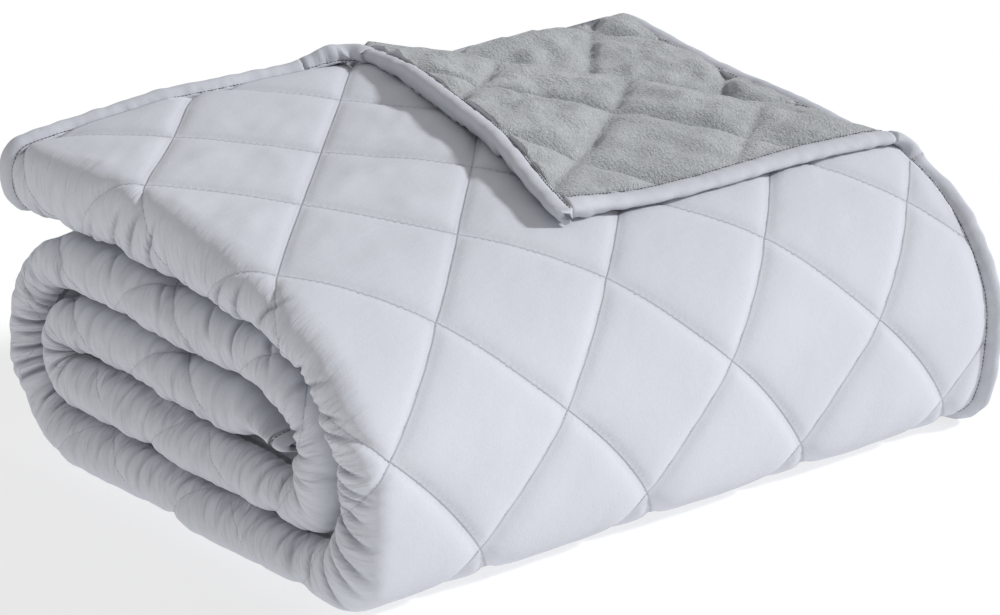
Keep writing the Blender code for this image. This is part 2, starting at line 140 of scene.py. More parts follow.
FLAP_Z = 1.5 * PITCH + 2 * ROLL_RADIUS

# Moves the pattern's own places into the solids' frame
SHIFT = np.array([
    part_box("binding_lower_side")[1][0] - (LOWER_SIDE_X + PIECE_GAP + TAPE_WIDTH),
    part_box("binding_outer_end")[1][1] - OUTER_END * HALF_DIAGONAL,
    0.0,
])

# Relief of the quilted sheet
PUFF_DEPTH = 0.0031          # how far the seams lie under the crowns on the smooth side
PUFF_RISE = 0.0014           # how far the crowns stand over the plain solid
PUFF_POWER = 3.8             # how flat the crowns are
CREASE_DEPTH = 0.0012        # the sharp bottom of a seam's channel
CREASE_WIDTH = 0.0030
EDGE_SINK = 0.0016           # the sheet thins towards its bound edges
EDGE_REACH = 0.010
GAP_DEPTH = 0.0019           # the fold draws in beside the layers above and below
PLUSH_PUFF_DEPTH = 0.0064
PLUSH_RISE = 0.0026
PLUSH_CREASE_DEPTH = 0.0026
PLUSH_CREASE_WIDTH = 0.0038
PLUSH_EDGE_REACH = 0.009
BARE_RIDGE = 0.017           # the bare ply stands up this far from its bound edges
FINE_STEP = 0.0036           # mesh spacing on the faces that show
FOLD_STEP = 0.0031           # and round the left fold
PLUSH_STEP = 0.0032
DARK_CREASE = 0.0023         # a pleat this deep gets the full painted shade in its bottom
LONG_STEP = 0.0022           # stations further apart than this have a fold line between them
SEAM_STEP = 0.02             # in seam rows, between the points that a seam is drawn through
SEAM_LIFT = 0.00012          # the thread lies this far over the channel's bottom
STITCH_PITCH = 0.0027
STITCH_LENGTH = 0.0018
STITCH_RADIUS = 0.00021
# The edge stitches are long, close and thick, so that with their dark colour they also draw the shade in the
# groove beside the tape
EDGE_PITCH = 0.0032
EDGE_STITCH = 0.0028
EDGE_RADIUS = 0.00040
SLUMP_ACROSS = 0.0022        # the soft bulges' height in each direction
SLUMP_BACK = 0.0018
SLUMP_HEIGHT = 0.0014
OFF_FLOOR = 0.0002
CROWNING = 0.0042            # the middle of the pile's top stands a little proud
TURNED_LEVEL = LAYER / 2 + 4 * LAYER_PITCH + 1.5 * PITCH + ROLL_RADIUS
FLAP_LIFT = 0.0070           # the turned corner's free side stands off the layer below
FLAP_LOOSE = 0.085
FLAP_FAR_END = 4.75          # in half diagonals; from here on it isn't lifted
FLAP_FAR_EASING = 0.06
FLAP_CORNER_PULL = 0.0065
FLAP_CORNER_REACH = 0.11
LEFT_SAG = 0.0100            # the outermost layer's left fold rests this much lower
INNER_PRESS = 0.045          # this length of the inner end is pressed flat
INNER_THIN = 0.72
INNER_SHIFT = 0.012


WAVE_COUNT = 14
WAVE_LEVEL = 5.3             # brings that many waves to about -1 to 1


def interpolate(table, place):
    return np.interp(place, [row[0] for row in table], [row[1] for row in table])


def smooth_step(value):
    value = np.clip(value, 0.0, 1.0)
    return value * value * (3 - 2 * value)


def bell(distance, width):
    """1 at no distance, and near 0 past twice the width."""
    return np.exp(-(distance / width) ** 2)


def waves(seed, scale, *places):
    """A smooth uneven field from -1 to 1, with bumps about one scale wide."""
    draw = np.random.default_rng(seed)
    total = 0.0
    for _ in range(WAVE_COUNT):
        direction = draw.normal(size=len(places))
        direction *= draw.uniform(0.6, 1.5) / np.linalg.norm(direction)
        phase = draw.uniform(0, 2 * math.pi)
        total = total + np.cos(sum(d * p for d, p in zip(direction, places)) * math.pi / scale + phase)
    return total / WAVE_LEVEL


def ease(spots):
    """Moves of the even pile's loose parts, 12 mm at most."""
    x, y, z = np.array(spots, float).T
    # the turned corner's free side stands off the layer below
    side = (FLAP_CORNER_X + (y / HALF_DIAGONAL - FLAP_CORNER_Y) * FLAP_SIDE_LEAN) * HALF_DIAGONAL
    loose = smooth_step((z - TURNED_LEVEL) / 0.003) * (y < BACK_Y + 0.02)
    near_side = smooth_step(1 - (x - side) / FLAP_LOOSE)
    far_end = smooth_step((FLAP_FAR_END * HALF_DIAGONAL - y) / FLAP_FAR_EASING)
    z = z + FLAP_LIFT * loose * near_side * far_end
    near_corner = smooth_step(1 - np.hypot(x - side, y - NEAR_Y) / FLAP_CORNER_REACH)
    x = x - FLAP_CORNER_PULL * loose * near_corner
    # the outermost layer's left fold is plumper than the rest, and rests lower
    layer_start = 4 * LAYER_PITCH - LAYER_GAP / 2
    towards_left = smooth_step((1.2 - x / HALF_DIAGONAL) / 1.6)
    plump = LEFT_SAG * smooth_step((y / HALF_DIAGONAL - 0.9) / 1.6) * towards_left
    within = 1 - np.clip((z - layer_start) / (LAYER * 0.85), 0, 1)
    plump = plump * np.where(z > layer_start, within, z / layer_start)
    # the inner end of the roll is pressed flat and reaches into the last turn
    level = layer_z(2)
    inside = smooth_step((LAYER / 2 + LAYER_GAP - 0.0002 - np.abs(z - level)) / 0.0008)
    inside = inside * (y > INNER_Y - TAPE_WIDTH - 0.004) * (y < BACK_Y)
    into = smooth_step((INNER_Y + INNER_PRESS - y) / INNER_PRESS) * inside
    z = z + (level - z) * INNER_THIN * into
    y = y - INNER_SHIFT * into
    return np.stack([x, y, z - plump], 1)


def settle(spots):
    """Move points of the even pile to where the soft pile holds them, as in the solids."""
    across, back, height = (np.asarray(spots) / HALF_DIAGONAL).T
    top = height * HALF_DIAGONAL > 4 * LAYER_PITCH - LAYER_GAP / 2
    middle = PILE / 2 / HALF_DIAGONAL
    ahead = np.maximum(NEAR_TURN - back, 0)
    below = np.maximum(middle - height, 0)
    reach = np.hypot(ahead, below)
    square = np.maximum((ahead ** FOOT_POWER + below ** FOOT_POWER) ** (1 / FOOT_POWER), 1e-9)
    grow = 1 + (reach / square - 1) * np.minimum(reach / middle, 1)
    corner = (ahead > 0) & (below > 0)
    back = np.where(corner, NEAR_TURN - ahead * grow, back)
    height = np.where(corner, middle - below * grow, height)
    height = height * sum(interpolate(SETTLE, back + step) for step in (-0.4, 0.0, 0.4)) / 3
    rise = interpolate(END_RISE, across) * smooth_step((back - RISE_START) / RISE_LENGTH)
    height = height + np.where(top, rise, 0)
    return np.stack([across, back, height], 1) * HALF_DIAGONAL


def slump(spots):
    """Unevenness of the whole pile: soft bulges, a few millimetres at most."""
    x, y, z = spots.T
    back = y / HALF_DIAGONAL
    loose = smooth_step(z / 0.05)
    dx = SLUMP_ACROSS * waves(11, 0.09, y, z * 1.6)
    dy = SLUMP_BACK * waves(12, 0.11, x, z * 1.4) * loose
    dz = SLUMP_HEIGHT * waves(13, 0.12, x, y) * loose
    dz = dz + CROWNING * smooth_step((back + 0.2) / 1.2) * smooth_step((4.3 - back) / 1.3) * z / PILE
    spots = spots + np.stack([dx, dy, dz], 1)
    spots[:, 2] = np.maximum(spots[:, 2], OFF_FLOOR)
    return spots


def finish_spots(spots):
    return slump(settle(ease(spots))) + SHIFT


def layer_z(level):
    return LAYER / 2 + level * LAYER_PITCH


def wind_strip():
    """The strip's middle line as a table: seam row, Y, Z and the outward direction's angle."""
    table = []
    top, bottom = layer_z(4), layer_z(0)
    for row in np.linspace(FIRST_STATION, FRONT_START, 40):
        table.append((row, (FIRST_ROW - row * ROW_STEP) * HALF_DIAGONAL, top, math.pi / 2))
    for row in np.linspace(FRONT_START, 7.0, 120)[1:]:
        angle = math.radians(90 + interpolate(NEAR_ROWS, row))
        radius = (top - bottom) / 2
        table.append((row, NEAR_Y + radius * math.cos(angle), bottom + radius * (1 + math.sin(angle)), angle))

    def straight(level, start, end):
        for step in range(1, 31):
            y = start + (end - start) * step / 30
            table.append((last + abs(y - start) / HALF_DIAGONAL, y, layer_z(level), table[-1][3]))

    def turn(middle, low, high):
        middle_z = (layer_z(low) + layer_z(high)) / 2
        radius = (layer_z(high) - layer_z(low)) / 2
        start = table[-1][3]
        for step in range(1, 61):
            angle = start + math.pi * step / 60
            length = radius * math.pi * step / 60
            table.append((last + length / HALF_DIAGONAL, middle + radius * math.cos(angle),
                          middle_z + radius * math.sin(angle), angle))

    legs = (
        (straight, (0, NEAR_Y, BACK_Y)),
        (turn, (BACK_Y, 0, 3)),
        (straight, (3, BACK_Y, NEAR_Y)),
        (turn, (NEAR_Y, 1, 3)),
        (straight, (1, NEAR_Y, BACK_Y)),
        (turn, (BACK_Y, 1, 2)),
        (straight, (2, BACK_Y, INNER_Y)),
    )
    marks = [FIRST_STATION, FRONT_START, 7.0]
    for leg, facts in legs:
        last = table[-1][0]
        leg(*facts)
        marks.append(table[-1][0])
    return np.array(table).T.copy(), marks


STRIP, MARKS = wind_strip()


def station(row):
    """Y, Z and outward direction of the strip's middle line at a seam row."""
    y = np.interp(row, STRIP[0], STRIP[1])
    z = np.interp(row, STRIP[0], STRIP[2])
    angle = np.interp(row, STRIP[0], STRIP[3])
    return y, z, np.cos(angle), np.sin(angle)


def around_outer_face(across):
    """The outer face of the strip's first ply and left fold: place, outward place, normal."""
    turned = np.maximum(FOLD_A - across, 0) * HALF_DIAGONAL / FOLD_RADIUS
    x = np.where(across > FOLD_A, across * HALF_DIAGONAL, FOLD_X - FOLD_RADIUS * np.sin(turned))
    return x, FOLD_RADIUS * np.cos(turned), -np.sin(turned), np.cos(turned)


FOLD_END_A = FOLD_A - math.pi * FOLD_RADIUS / HALF_DIAGONAL


def crown(across, row, power):
    """1 in the middle of a quilted square and 0 on its seams."""
    first = np.abs(np.sin(np.pi * (row + across) / 2))
    second = np.abs(np.sin(np.pi * (row - across) / 2))
    return (1 - (1 - first) ** power) * (1 - (1 - second) ** power)


def seam_distance(across, row):
    """Distance to the nearest seam, in metres."""
    first = np.abs((row + across) / 2 - np.round((row + across) / 2))
    second = np.abs((row - across) / 2 - np.round((row - across) / 2))
    return np.minimum(first, second) * 2 * HALF_DIAGONAL / math.sqrt(2)


# Creases that the photograph shows on the left fold, as (across, row) to (across, row) in half
# diagonals, with half width and depth in millimetres
PLACED_CREASES = (
    # the outer left turn
    (-1.95, 12.62, -1.50, 12.70, 2.8, 3.2), (-1.95, 12.34, -1.42, 12.55, 2.6, 3.0),
    (-1.95, 12.12, -1.28, 12.05, 3.2, 4.2), (-1.95, 11.97, -1.40, 11.93, 2.6, 3.4),
    (-1.95, 11.79, -1.30, 11.76, 3.0, 4.0), (-1.92, 11.66, -1.38, 11.60, 2.4, 2.8),
    (-1.95, 11.50, -1.25, 11.45, 3.2, 4.2), (-1.92, 11.18, -1.50, 11.06, 3.0, 3.4),
    (-1.95, 10.95, -1.55, 10.86, 2.6, 2.6), (-1.95, 12.85, -1.60, 12.98, 2.6, 2.6),
    # the inner left turn
    (-1.95, 22.34, -1.30, 22.28, 2.6, 3.2), (-1.95, 22.50, -1.22, 22.46, 2.8, 3.6),
    (-1.95, 22.66, -1.20, 22.66, 2.8, 3.8), (-1.95, 22.82, -1.25, 22.86, 2.6, 3.4),
    (-1.95, 23.00, -1.32, 23.10, 2.6, 3.0), (-1.90, 23.30, -1.45, 23.48, 2.4, 2.6),
    # the lower edge of the outermost layer
    (-1.90, 0.30, -1.47, 0.63, 2.8, 2.4), (-1.80, 0.72, -1.28, 1.13, 2.6, 2.6),
    (-1.75, 1.10, -1.21, 1.33, 2.8, 2.6), (-1.75, 1.38, -1.24, 1.55, 2.6, 3.0),
    (-1.85, 1.92, -1.45, 2.05, 2.8, 2.8), (-1.80, 2.44, -1.30, 2.70, 3.4, 4.2),
    (-1.75, 2.78, -1.22, 2.90, 3.0, 3.6), (-1.60, 3.12, -1.08, 3.44, 2.8, 2.6),
    (-1.75, 3.50, -1.35, 3.62, 2.8, 2.6), (-1.80, 3.86, -1.42, 4.00, 3.4, 4.2),
    (-1.70, 4.12, -1.20, 4.26, 2.6, 2.4), (-1.75, 4.40, -1.22, 4.61, 2.8, 3.0),
    (-1.75, 4.60, -1.18, 4.79, 3.0, 3.2),
    # the near turn
    (-1.75, 4.96, -1.18, 5.12, 3.2, 3.8), (-1.70, 5.14, -1.10, 5.36, 2.6, 2.6),
    (-1.75, 5.31, -1.15, 5.38, 3.0, 3.2), (-1.75, 5.50, -1.22, 5.56, 2.6, 2.8),
    (-1.75, 5.67, -1.12, 5.76, 3.4, 4.2), (-1.72, 5.85, -1.10, 6.02, 3.0, 3.6),
    (-1.72, 6.00, -1.15, 6.14, 2.8, 3.2), (-1.75, 6.17, -1.12, 6.34, 3.2, 3.6),
    (-1.75, 6.42, -1.30, 6.55, 2.8, 3.0),
    # the layers between
    (-1.10, 14.12, -1.46, 14.38, 2.6, 2.0), (-1.12, 14.95, -1.45, 15.20, 2.6, 2.2),
    (-1.10, 15.74, -1.50, 16.02, 2.8, 2.4), (-1.10, 16.20, -1.60, 16.36, 3.0, 2.6),
    (-1.10, 16.62, -1.48, 16.98, 2.8, 2.4), (-1.92, 17.05, -1.50, 17.12, 3.0, 2.8),
    (-1.95, 17.45, -1.28, 17.40, 3.0, 3.4), (-1.95, 17.70, -1.25, 17.68, 2.8, 3.2),
    (-1.95, 17.95, -1.32, 17.92, 2.8, 3.4), (-1.95, 18.22, -1.30, 18.22, 2.8, 3.0),
    (-1.90, 18.50, -1.35, 18.58, 2.8, 3.0),
)
PLEAT_REACH = 0.45
OUTERMOST_SHARE = 0.12       # the outermost winding is hardly gathered on its outer side
CREASE_NARROWING = 0.72
CREASE_DEEPENING = 1.25


def seeded_pleats():
    """The many small gathers round the left fold, where the cloth is taken in along the strip."""
    draw = np.random.default_rng(41)
    pleats = []
    kinds = (
        # mean spacing, spread, from, to, half width, depth
        (0.070, 0.034, (-1.98, -1.90), (-1.75, -1.52), (1.6, 2.5), (0.2, 0.9)),
        (0.085, 0.040, (-1.10, -0.96), (-1.45, -1.22), (1.6, 2.8), (0.1, 0.8)),
        (0.190, 0.110, (-1.98, -1.90), (-1.52, -1.28), (2.2, 3.4), (0.5, 1.7)),
        (0.260, 0.140, (-1.08, -0.98), (-1.62, -1.42), (2.4, 3.8), (0.3, 1.2)),
        (0.200, 0.100, (-1.75, -1.65), (-1.40, -1.20), (2.0, 3.2), (0.2, 0.9)),
    )
    for spacing, spread, starts, ends, widths, depths in kinds:
        row = FIRST_STATION + 0.15
        while row < MARKS[-1] - 0.1:
            turning = any(MARKS[n] < row < MARKS[n + 1] for n in (1, 3, 5, 7))
            row += spacing + draw.uniform(-spread, spread)
            start, end, width, depth = (draw.uniform(*span) for span in (starts, ends, widths, depths))
            if starts[0] > -1.2 and row < MARKS[3]:
                depth *= OUTERMOST_SHARE
            elif starts[0] > -1.8 and row < MARKS[2]:
                start, end, depth = start - 0.12, end - 0.12, depth * 0.7
            lean = draw.uniform(-0.04, 0.14) * abs(end - start)
            pleats.append((start, row, end, row + lean, width, depth * (1.4 if turning else 1.0)))
    return pleats


SHARPEN = np.array((1.0, 1.0, 1.0, 1.0, CREASE_NARROWING, CREASE_DEEPENING))
PLEATS = np.concatenate([np.array(seeded_pleats()), np.array(PLACED_CREASES) * SHARPEN])


def pleat_depth(across, row):
    """How deep the pleats are at places on the outer face, in metres."""
    depth = np.zeros_like(across)
    if across.min() > -0.4:
        return depth
    middle = (PLEATS[:, 1] + PLEATS[:, 3]) / 2
    close = (middle > row.min() - PLEAT_REACH) & (middle < row.max() + PLEAT_REACH)
    for start_a, start_r, end_a, end_r, width, deep in PLEATS[close]:
        along_a, along_r = end_a - start_a, end_r - start_r
        length = math.hypot(along_a, along_r)
        a, r = across - start_a, row - start_r
        along = (a * along_a + r * along_r) / length ** 2
        aside = (a * along_r - r * along_a) / length * HALF_DIAGONAL * 1000 / width
        taper = smooth_step(along / 0.30 + 0.5) * smooth_step((1 - along) / 0.55)
        depth += deep / 1000 * taper * (np.exp(-aside ** 2) - 0.35 * np.exp(-(aside / 2.4) ** 2))
    return depth


def outer_relief(across, row, pleats=None):
    """Height of the smooth outer face over the plain solid form, in metres."""
    x = across * HALF_DIAGONAL
    if pleats is None:
        pleats = pleat_depth(across, row)
    fold = smooth_step((FOLD_A - across) / 0.5) * smooth_step((across - FOLD_END_A) / 0.12)
    share = np.where(across > FOLD_A, 1.0, 0.55 + 0.45 * np.cos(np.clip((FOLD_A - across) * 3.5, 0, math.pi)))
    puffed = crown(across, row, PUFF_POWER)
    share = share * (1 - 0.75 * bell(SIDE_X - x, 0.011))
    height = (PUFF_RISE - PUFF_DEPTH * (1 - puffed)) * share
    distance = seam_distance(across, row)
    height -= CREASE_DEPTH * bell(distance, CREASE_WIDTH) * share
    height -= pleats
    height -= GAP_DEPTH * bell(across - FOLD_END_A, 0.20)
    height -= GAP_DEPTH * bell(across - FOLD_A, 0.24) * smooth_step((row - 9.5) / 0.8)
    height += 0.0003 * waves(21, 0.42, across, row) + 0.0001 * waves(22, 0.16, across, row)
    height += 0.0024 * fold * waves(23, 0.34, across * 0.3, row)
    height += 0.0007 * fold * waves(24, 0.11, across * 0.4, row)
    end = (row - FIRST_STATION) * ROW_STEP * HALF_DIAGONAL
    height -= EDGE_SINK * np.minimum(bell(SIDE_X - x, EDGE_REACH) + bell(end, EDGE_REACH), 1)
    return height


def outer_face(across, row, lift=0.0, settled=True):
    """Points on the smooth outer face, at places across the strip and seam rows along it."""
    across, row = np.broadcast_arrays(np.asarray(across, float), np.asarray(row, float))
    x, out, normal_x, normal_out = around_outer_face(across)
    y, z, out_y, out_z = station(row)
    height = outer_relief(across, row) + lift
    x = x + normal_x * height
    out = out + normal_out * height
    spots = np.stack([x, y + out * out_y, z + out * out_z], 1)
    return finish_spots(spots) if settled else spots


def crest_x(y):
    outer = interpolate(CREST, y / HALF_DIAGONAL) * HALF_DIAGONAL
    return outer - (ROLL_RADIUS + HALF) / CREST_COS


def flap_side_x(y):
    outer = FLAP_CORNER_X + (y / HALF_DIAGONAL - FLAP_CORNER_Y) * FLAP_SIDE_LEAN
    return outer * HALF_DIAGONAL + TAPE_WIDTH + PIECE_GAP


def flap_pattern(x, y):
    """Where a point of the turned corner lies in the quilting."""
    x = x / HALF_DIAGONAL - FLAP_SEAM_X
    y = y / HALF_DIAGONAL - FLAP_SEAM_Y
    cos, sin = math.cos(FLAP_SEAM_TURN), math.sin(FLAP_SEAM_TURN)
    return x * cos - y * sin, x * sin + y * cos


def plush_relief(across, row, seed):
    puffed = crown(across, row, 2.8)
    height = PLUSH_RISE - PLUSH_PUFF_DEPTH * (1 - puffed)
    height -= PLUSH_CREASE_DEPTH * bell(seam_distance(across, row), PLUSH_CREASE_WIDTH)
    height += 0.0026 * waves(seed, 0.30, across, row * 1.5) * puffed
    height += 0.0007 * waves(seed + 2, 0.13, across * 1.6, row) * puffed
    return height + 0.0002 * waves(seed + 1, 0.06, across, row)


def flap_relief(x, y):
    across, row = flap_pattern(x, y)
    height = plush_relief(across, row, 31)
    edge = bell(x - flap_side_x(y), PLUSH_EDGE_REACH) + bell(y - NEAR_Y, PLUSH_EDGE_REACH)
    return height - 0.0012 * np.minimum(edge, 1)


def put(name, data):
    item = bpy.data.objects.new(name, data)
    bpy.context.scene.collection.objects.link(item)
    return item


def smooth_mesh(name, spots, faces, materials):
    mesh = bpy.data.meshes.new(name)
    mesh.from_pydata(spots, [], faces)
    mesh.polygons.foreach_set("use_smooth", [True] * len(faces))
    for material in materials:
        mesh.materials.append(material)
    return mesh


class Line:
    """One face of the sheet at one station: columns of key, x, out, pattern place and relief."""

    def __init__(self):
        self.parts = []

    def add(self, key, x, out, relief=0.0, normal=(0.0, 1.0), pattern=(0.0, 0.0), quilted=0.0, crease_shade=0.0):
        x = np.atleast_1d(np.asarray(x, float))
        cells = [key, x + normal[0] * relief, out + normal[1] * relief, *pattern, quilted, crease_shade]
        self.parts.append(np.stack([np.broadcast_to(np.asarray(c, float), x.shape) for c in cells], 1))

    def rows(self):
        cells = np.concatenate(self.parts)
        keep = np.concatenate([[True], np.diff(np.maximum.accumulate(cells[:, 0])) > 1e-6])
        return cells[keep]


def ply_key(segment, x, start, end):
    return segment + (x - start) / (end - start) * 0.98 + 0.01


def columns(start, end, spacing):
    """Places from start to end, on a grid that all stations share between the two."""
    low, high = min(start, end), max(start, end)
    inner = np.arange(math.ceil(low / spacing), math.floor(high / spacing) + 1) * spacing
    inner = inner[(inner > low + 0.35 * spacing) & (inner < high - 0.35 * spacing)]
    places = np.concatenate([[low], inner, [high]])
    return places if start < end else places[::-1]


def arc(middle_x, middle_out, radius, start, end, count):
    angle = np.radians(np.linspace(start, end, count + 1))
    return middle_x + radius * np.cos(angle), middle_out + radius * np.sin(angle)


def add_turned_corner(y, smooth, plush):
    roll_x = crest_x(y)
    side_x = min(flap_side_x(y), roll_x - 0.004)
    x = np.linspace(side_x, roll_x, 60)
    near_roll = bell(roll_x - x, 0.012)
    relief = flap_relief(x, np.full_like(x, y)) * (1 - 0.6 * near_roll)
    plush.add(-2 + 0.98 * np.linspace(0, 1, 60), x, FLAP_Z + HALF, relief,
              pattern=flap_pattern(x, np.full_like(x, y)), quilted=1.0)
    smooth.add(-2 + 0.98 * np.linspace(0, 1, 7), np.linspace(side_x, roll_x, 7), FLAP_Z - HALF)
    middle = 1.5 * PITCH + ROLL_RADIUS
    for line, radius, count in ((plush, ROLL_RADIUS + HALF, 12), (smooth, ROLL_RADIUS - HALF, 3)):
        angle = np.radians(90 - 180 * np.arange(1, count) / count)
        ripple = 0.0
        if line is plush:
            ripple = 0.0010 * waves(35, 0.03, np.full_like(angle, y), angle * 0.004)
        x = roll_x + (radius + ripple) * np.cos(angle) / CREST_COS
        line.add(-1 + np.arange(1, count) / count, x, middle + (radius + ripple) * np.sin(angle))
    return roll_x


def add_plies(row, smooth, plush, start_x, turned, face_step):
    """The four plies and their three folds, on both faces of the sheet."""
    span = (SIDE_X, FOLD_X)
    x = np.array([start_x, FOLD_X + 0.02, FOLD_X + 0.008, FOLD_X])
    if face_step:
        x = columns(start_x, FOLD_X, face_step)
    across = x / HALF_DIAGONAL
    rows = np.full_like(across, row)
    pleats = pleat_depth(across, rows)
    relief = outer_relief(across, rows, pleats)
    keys = ply_key(0, x, *span)
    smooth.add(keys, x, FOLD_RADIUS, relief, (0.0, 1.0), (across, row), 1.0, pleats / DARK_CREASE)
    plush.add(ply_key(0, np.array([start_x, FOLD_X]), *span), [start_x, FOLD_X], 1.5 * PITCH - HALF)

    count = round(math.pi * FOLD_RADIUS / FOLD_STEP)
    across = FOLD_A - (FOLD_A - FOLD_END_A) * np.arange(1, count + 1) / count
    x, out, normal_x, normal_out = around_outer_face(across)
    pleats = pleat_depth(across, np.full_like(across, row))
    relief = outer_relief(across, np.full_like(across, row), pleats)
    steps = np.arange(1, count + 1) / count
    smooth.add(1 + steps, x, out, relief, (normal_x, normal_out), (across, row), 1.0, pleats / DARK_CREASE)
    plush.add(1 + np.arange(5) / 4, *arc(FOLD_X, 0, 1.5 * PITCH - HALF, 90, 270, 4))

    for x in (FOLD_X + 0.01, RIGHT_FOLD_X):
        key = ply_key(2, x, FOLD_X, RIGHT_FOLD_X)
        smooth.add(key, x, -1.5 * PITCH - HALF)
        plush.add(key, x, -1.5 * PITCH + HALF)
    smooth.add(3 + np.arange(9) / 8, *arc(RIGHT_FOLD_X, -PITCH, PITCH / 2 + HALF, -90, 90, 8))
    plush.add(3 + np.arange(3) / 2, *arc(RIGHT_FOLD_X, -PITCH, PITCH / 2 - HALF, -90, 90, 2))
    for x in (RIGHT_FOLD_X, FOLD_X):
        key = ply_key(4, x, RIGHT_FOLD_X, FOLD_X)
        smooth.add(key, x, -PITCH / 2 + HALF)
        plush.add(key, x, -PITCH / 2 - HALF)
    smooth.add(5 + np.arange(3) / 2, *arc(FOLD_X, 0, PITCH / 2 - HALF, 270, 90, 2))
    plush.add(5 + np.arange(4) / 3, *arc(FOLD_X, 0, PITCH / 2 + HALF, 270, 90, 3))
    for x in (FOLD_X, LOWER_SIDE_X):
        smooth.add(ply_key(6, x, FOLD_X, LOWER_SIDE_X), x, PITCH / 2 - HALF)
    if not turned:
        ends = np.array([FOLD_X, LOWER_SIDE_X])
        plush.add(ply_key(6, ends, FOLD_X, LOWER_SIDE_X), ends, PITCH / 2 + HALF)
        return
    plush.add(ply_key(6, FOLD_X, FOLD_X, LOWER_SIDE_X), FOLD_X, PITCH / 2 + HALF)
    x = columns(start_x - 0.004, LOWER_SIDE_X, PLUSH_STEP)
    across = x / HALF_DIAGONAL
    plush.add(ply_key(6, x, FOLD_X, LOWER_SIDE_X), x, PITCH / 2 + HALF,
              bare_relief(x, np.full_like(x, row)), pattern=(across, row + 0.6), quilted=1.0)


def bare_relief(x, row):
    """Relief of the second ply's plush side, where the turned corner leaves it bare."""
    height = plush_relief(x / HALF_DIAGONAL, row + 0.6, 37)
    start = (row - FIRST_STATION) * ROW_STEP * HALF_DIAGONAL
    edge = bell(LOWER_SIDE_X - x, PLUSH_EDGE_REACH) + bell(start, PLUSH_EDGE_REACH)
    beside = bell(LOWER_SIDE_X - x - BARE_RIDGE, EDGE_REACH) + bell(start - BARE_RIDGE, EDGE_REACH)
    return height - 0.0008 * np.minimum(edge, 1) + 0.0030 * np.minimum(beside, 1)


class Shell:
    """A closed surface, made of lines of points that are stitched to each other."""

    def __init__(self):
        self.count = 0
        self.spots = []
        self.patterns = []
        self.faces = []
        self.materials = []

    def place(self, spots, patterns):
        start = self.count
        self.spots.append(spots)
        self.patterns.append(patterns)
        self.count += len(spots)
        return start

    def face(self, material, *corners):
        corners = list(dict.fromkeys(corners))
        if len(corners) > 2:
            self.faces.append(corners)
            self.materials.append(material)

    def stitch(self, first, second, material):
        """Join two lines of points, each given as keys and the number of its first point."""
        (keys, start), (other_keys, other_start) = first, second
        near, far = 0, 0
        while near < len(keys) - 1 or far < len(other_keys) - 1:
            corner, opposite = start + near, other_start + far
            if near == len(keys) - 1 or far == len(other_keys) - 1:
                step_near = far == len(other_keys) - 1
            elif abs(keys[near + 1] - other_keys[far + 1]) < 1e-4:
                self.face(material, corner, corner + 1, opposite + 1, opposite)
                near += 1
                far += 1
                continue
            else:
                step_near = keys[near + 1] < other_keys[far + 1]
            if step_near:
                self.face(material, corner, corner + 1, opposite)
                near += 1
            else:
                self.face(material, corner, opposite + 1, opposite)
                far += 1

    def build(self, name, materials):
        mesh = smooth_mesh(name, np.concatenate(self.spots), self.faces, materials)
        mesh.polygons.foreach_set("material_index", self.materials)
        places = np.concatenate(self.patterns).astype(np.float32)
        pattern = mesh.attributes.new("pattern", "FLOAT_VECTOR", "POINT")
        pattern.data.foreach_set("vector", places[:, :3].ravel())
        # how much painted shade the pleat bottoms get, from the pleats' depth
        crease_shade = mesh.attributes.new("crease_shade", "FLOAT", "POINT")
        crease_shade.data.foreach_set("value", np.clip(places[:, 3], 0, 1))
        cage = bmesh.new()
        cage.from_mesh(mesh)
        bmesh.ops.recalc_face_normals(cage, faces=cage.faces)
        cage.to_mesh(mesh)
        cage.free()
        return put(name, mesh)


def station_rows():
    """Seam rows of the mesh's stations, with the spacing of the points on the outer face there."""
    steps = (
        (FINE_STEP / ROW_STEP, FINE_STEP),
        (0.0030, FINE_STEP),
        (0.0028, None),
        (0.0025, 0.012),
        (0.0028, None),
        (0.0020, None),
        (0.0028, None),
        (0.0017, None),
        (0.0028, None),
    )
    stations = []
    for start, end, (step, spacing) in zip(MARKS, MARKS[1:], steps):
        count = max(2, round((end - start) * HALF_DIAGONAL / step))
        for number in range(count + (end == MARKS[-1])):
            row = start + (end - start) * number / count
            stations.append((row, None if start == FRONT_START and row > 6.75 else spacing))
    return stations


def fold_line(shell, row_before, row_after):
    """A line of points round the left fold only, halfway between two stations."""
    count = round(math.pi * FOLD_RADIUS / FOLD_STEP)
    steps = np.arange(count + 1) / count
    across = FOLD_A - (FOLD_A - FOLD_END_A) * steps
    rows = np.full_like(across, (row_before + row_after) / 2)
    spots = outer_face(across, rows, settled=False)
    for end in (0, -1):
        beside = outer_face(np.full(2, across[end]), np.array([row_before, row_after]), settled=False)
        spots[end] = beside.mean(0)
    keys = np.concatenate([[ply_key(0, FOLD_X, SIDE_X, FOLD_X)], 1 + steps[1:]])
    crease_shade = pleat_depth(across, rows) / DARK_CREASE
    return keys, shell.place(spots, np.stack([across, rows, np.ones_like(rows), crease_shade], 1))


def stitch_fold(shell, old, middle, new):
    """Join two stations' smooth lines, with the line round the left fold between the two."""
    parts = []
    for keys, start in (old, new):
        first = int(np.argmin(np.abs(keys - middle[0][0])))
        last = int(np.argmin(np.abs(keys - 2.0)))
        parts.append((first, last, keys, start))
    (first, last, keys, start), (other_first, other_last, other_keys, other_start) = parts
    near, other_near = start + first, other_start + other_first
    far, other_far = start + last, other_start + other_last
    shell.stitch((keys[:first], start), (other_keys[:other_first], other_start), 0)
    shell.face(0, near - 1, near, middle[1], other_near, other_near - 1)
    shell.stitch((keys[first:last + 1], near), middle, 0)
    shell.stitch(middle, (other_keys[other_first:other_last + 1], other_near), 0)
    shell.face(0, far, far + 1, other_far + 1, other_far, middle[1] + len(middle[0]) - 1)
    shell.stitch((keys[last + 1:], far + 1), (other_keys[other_last + 1:], other_far + 1), 0)


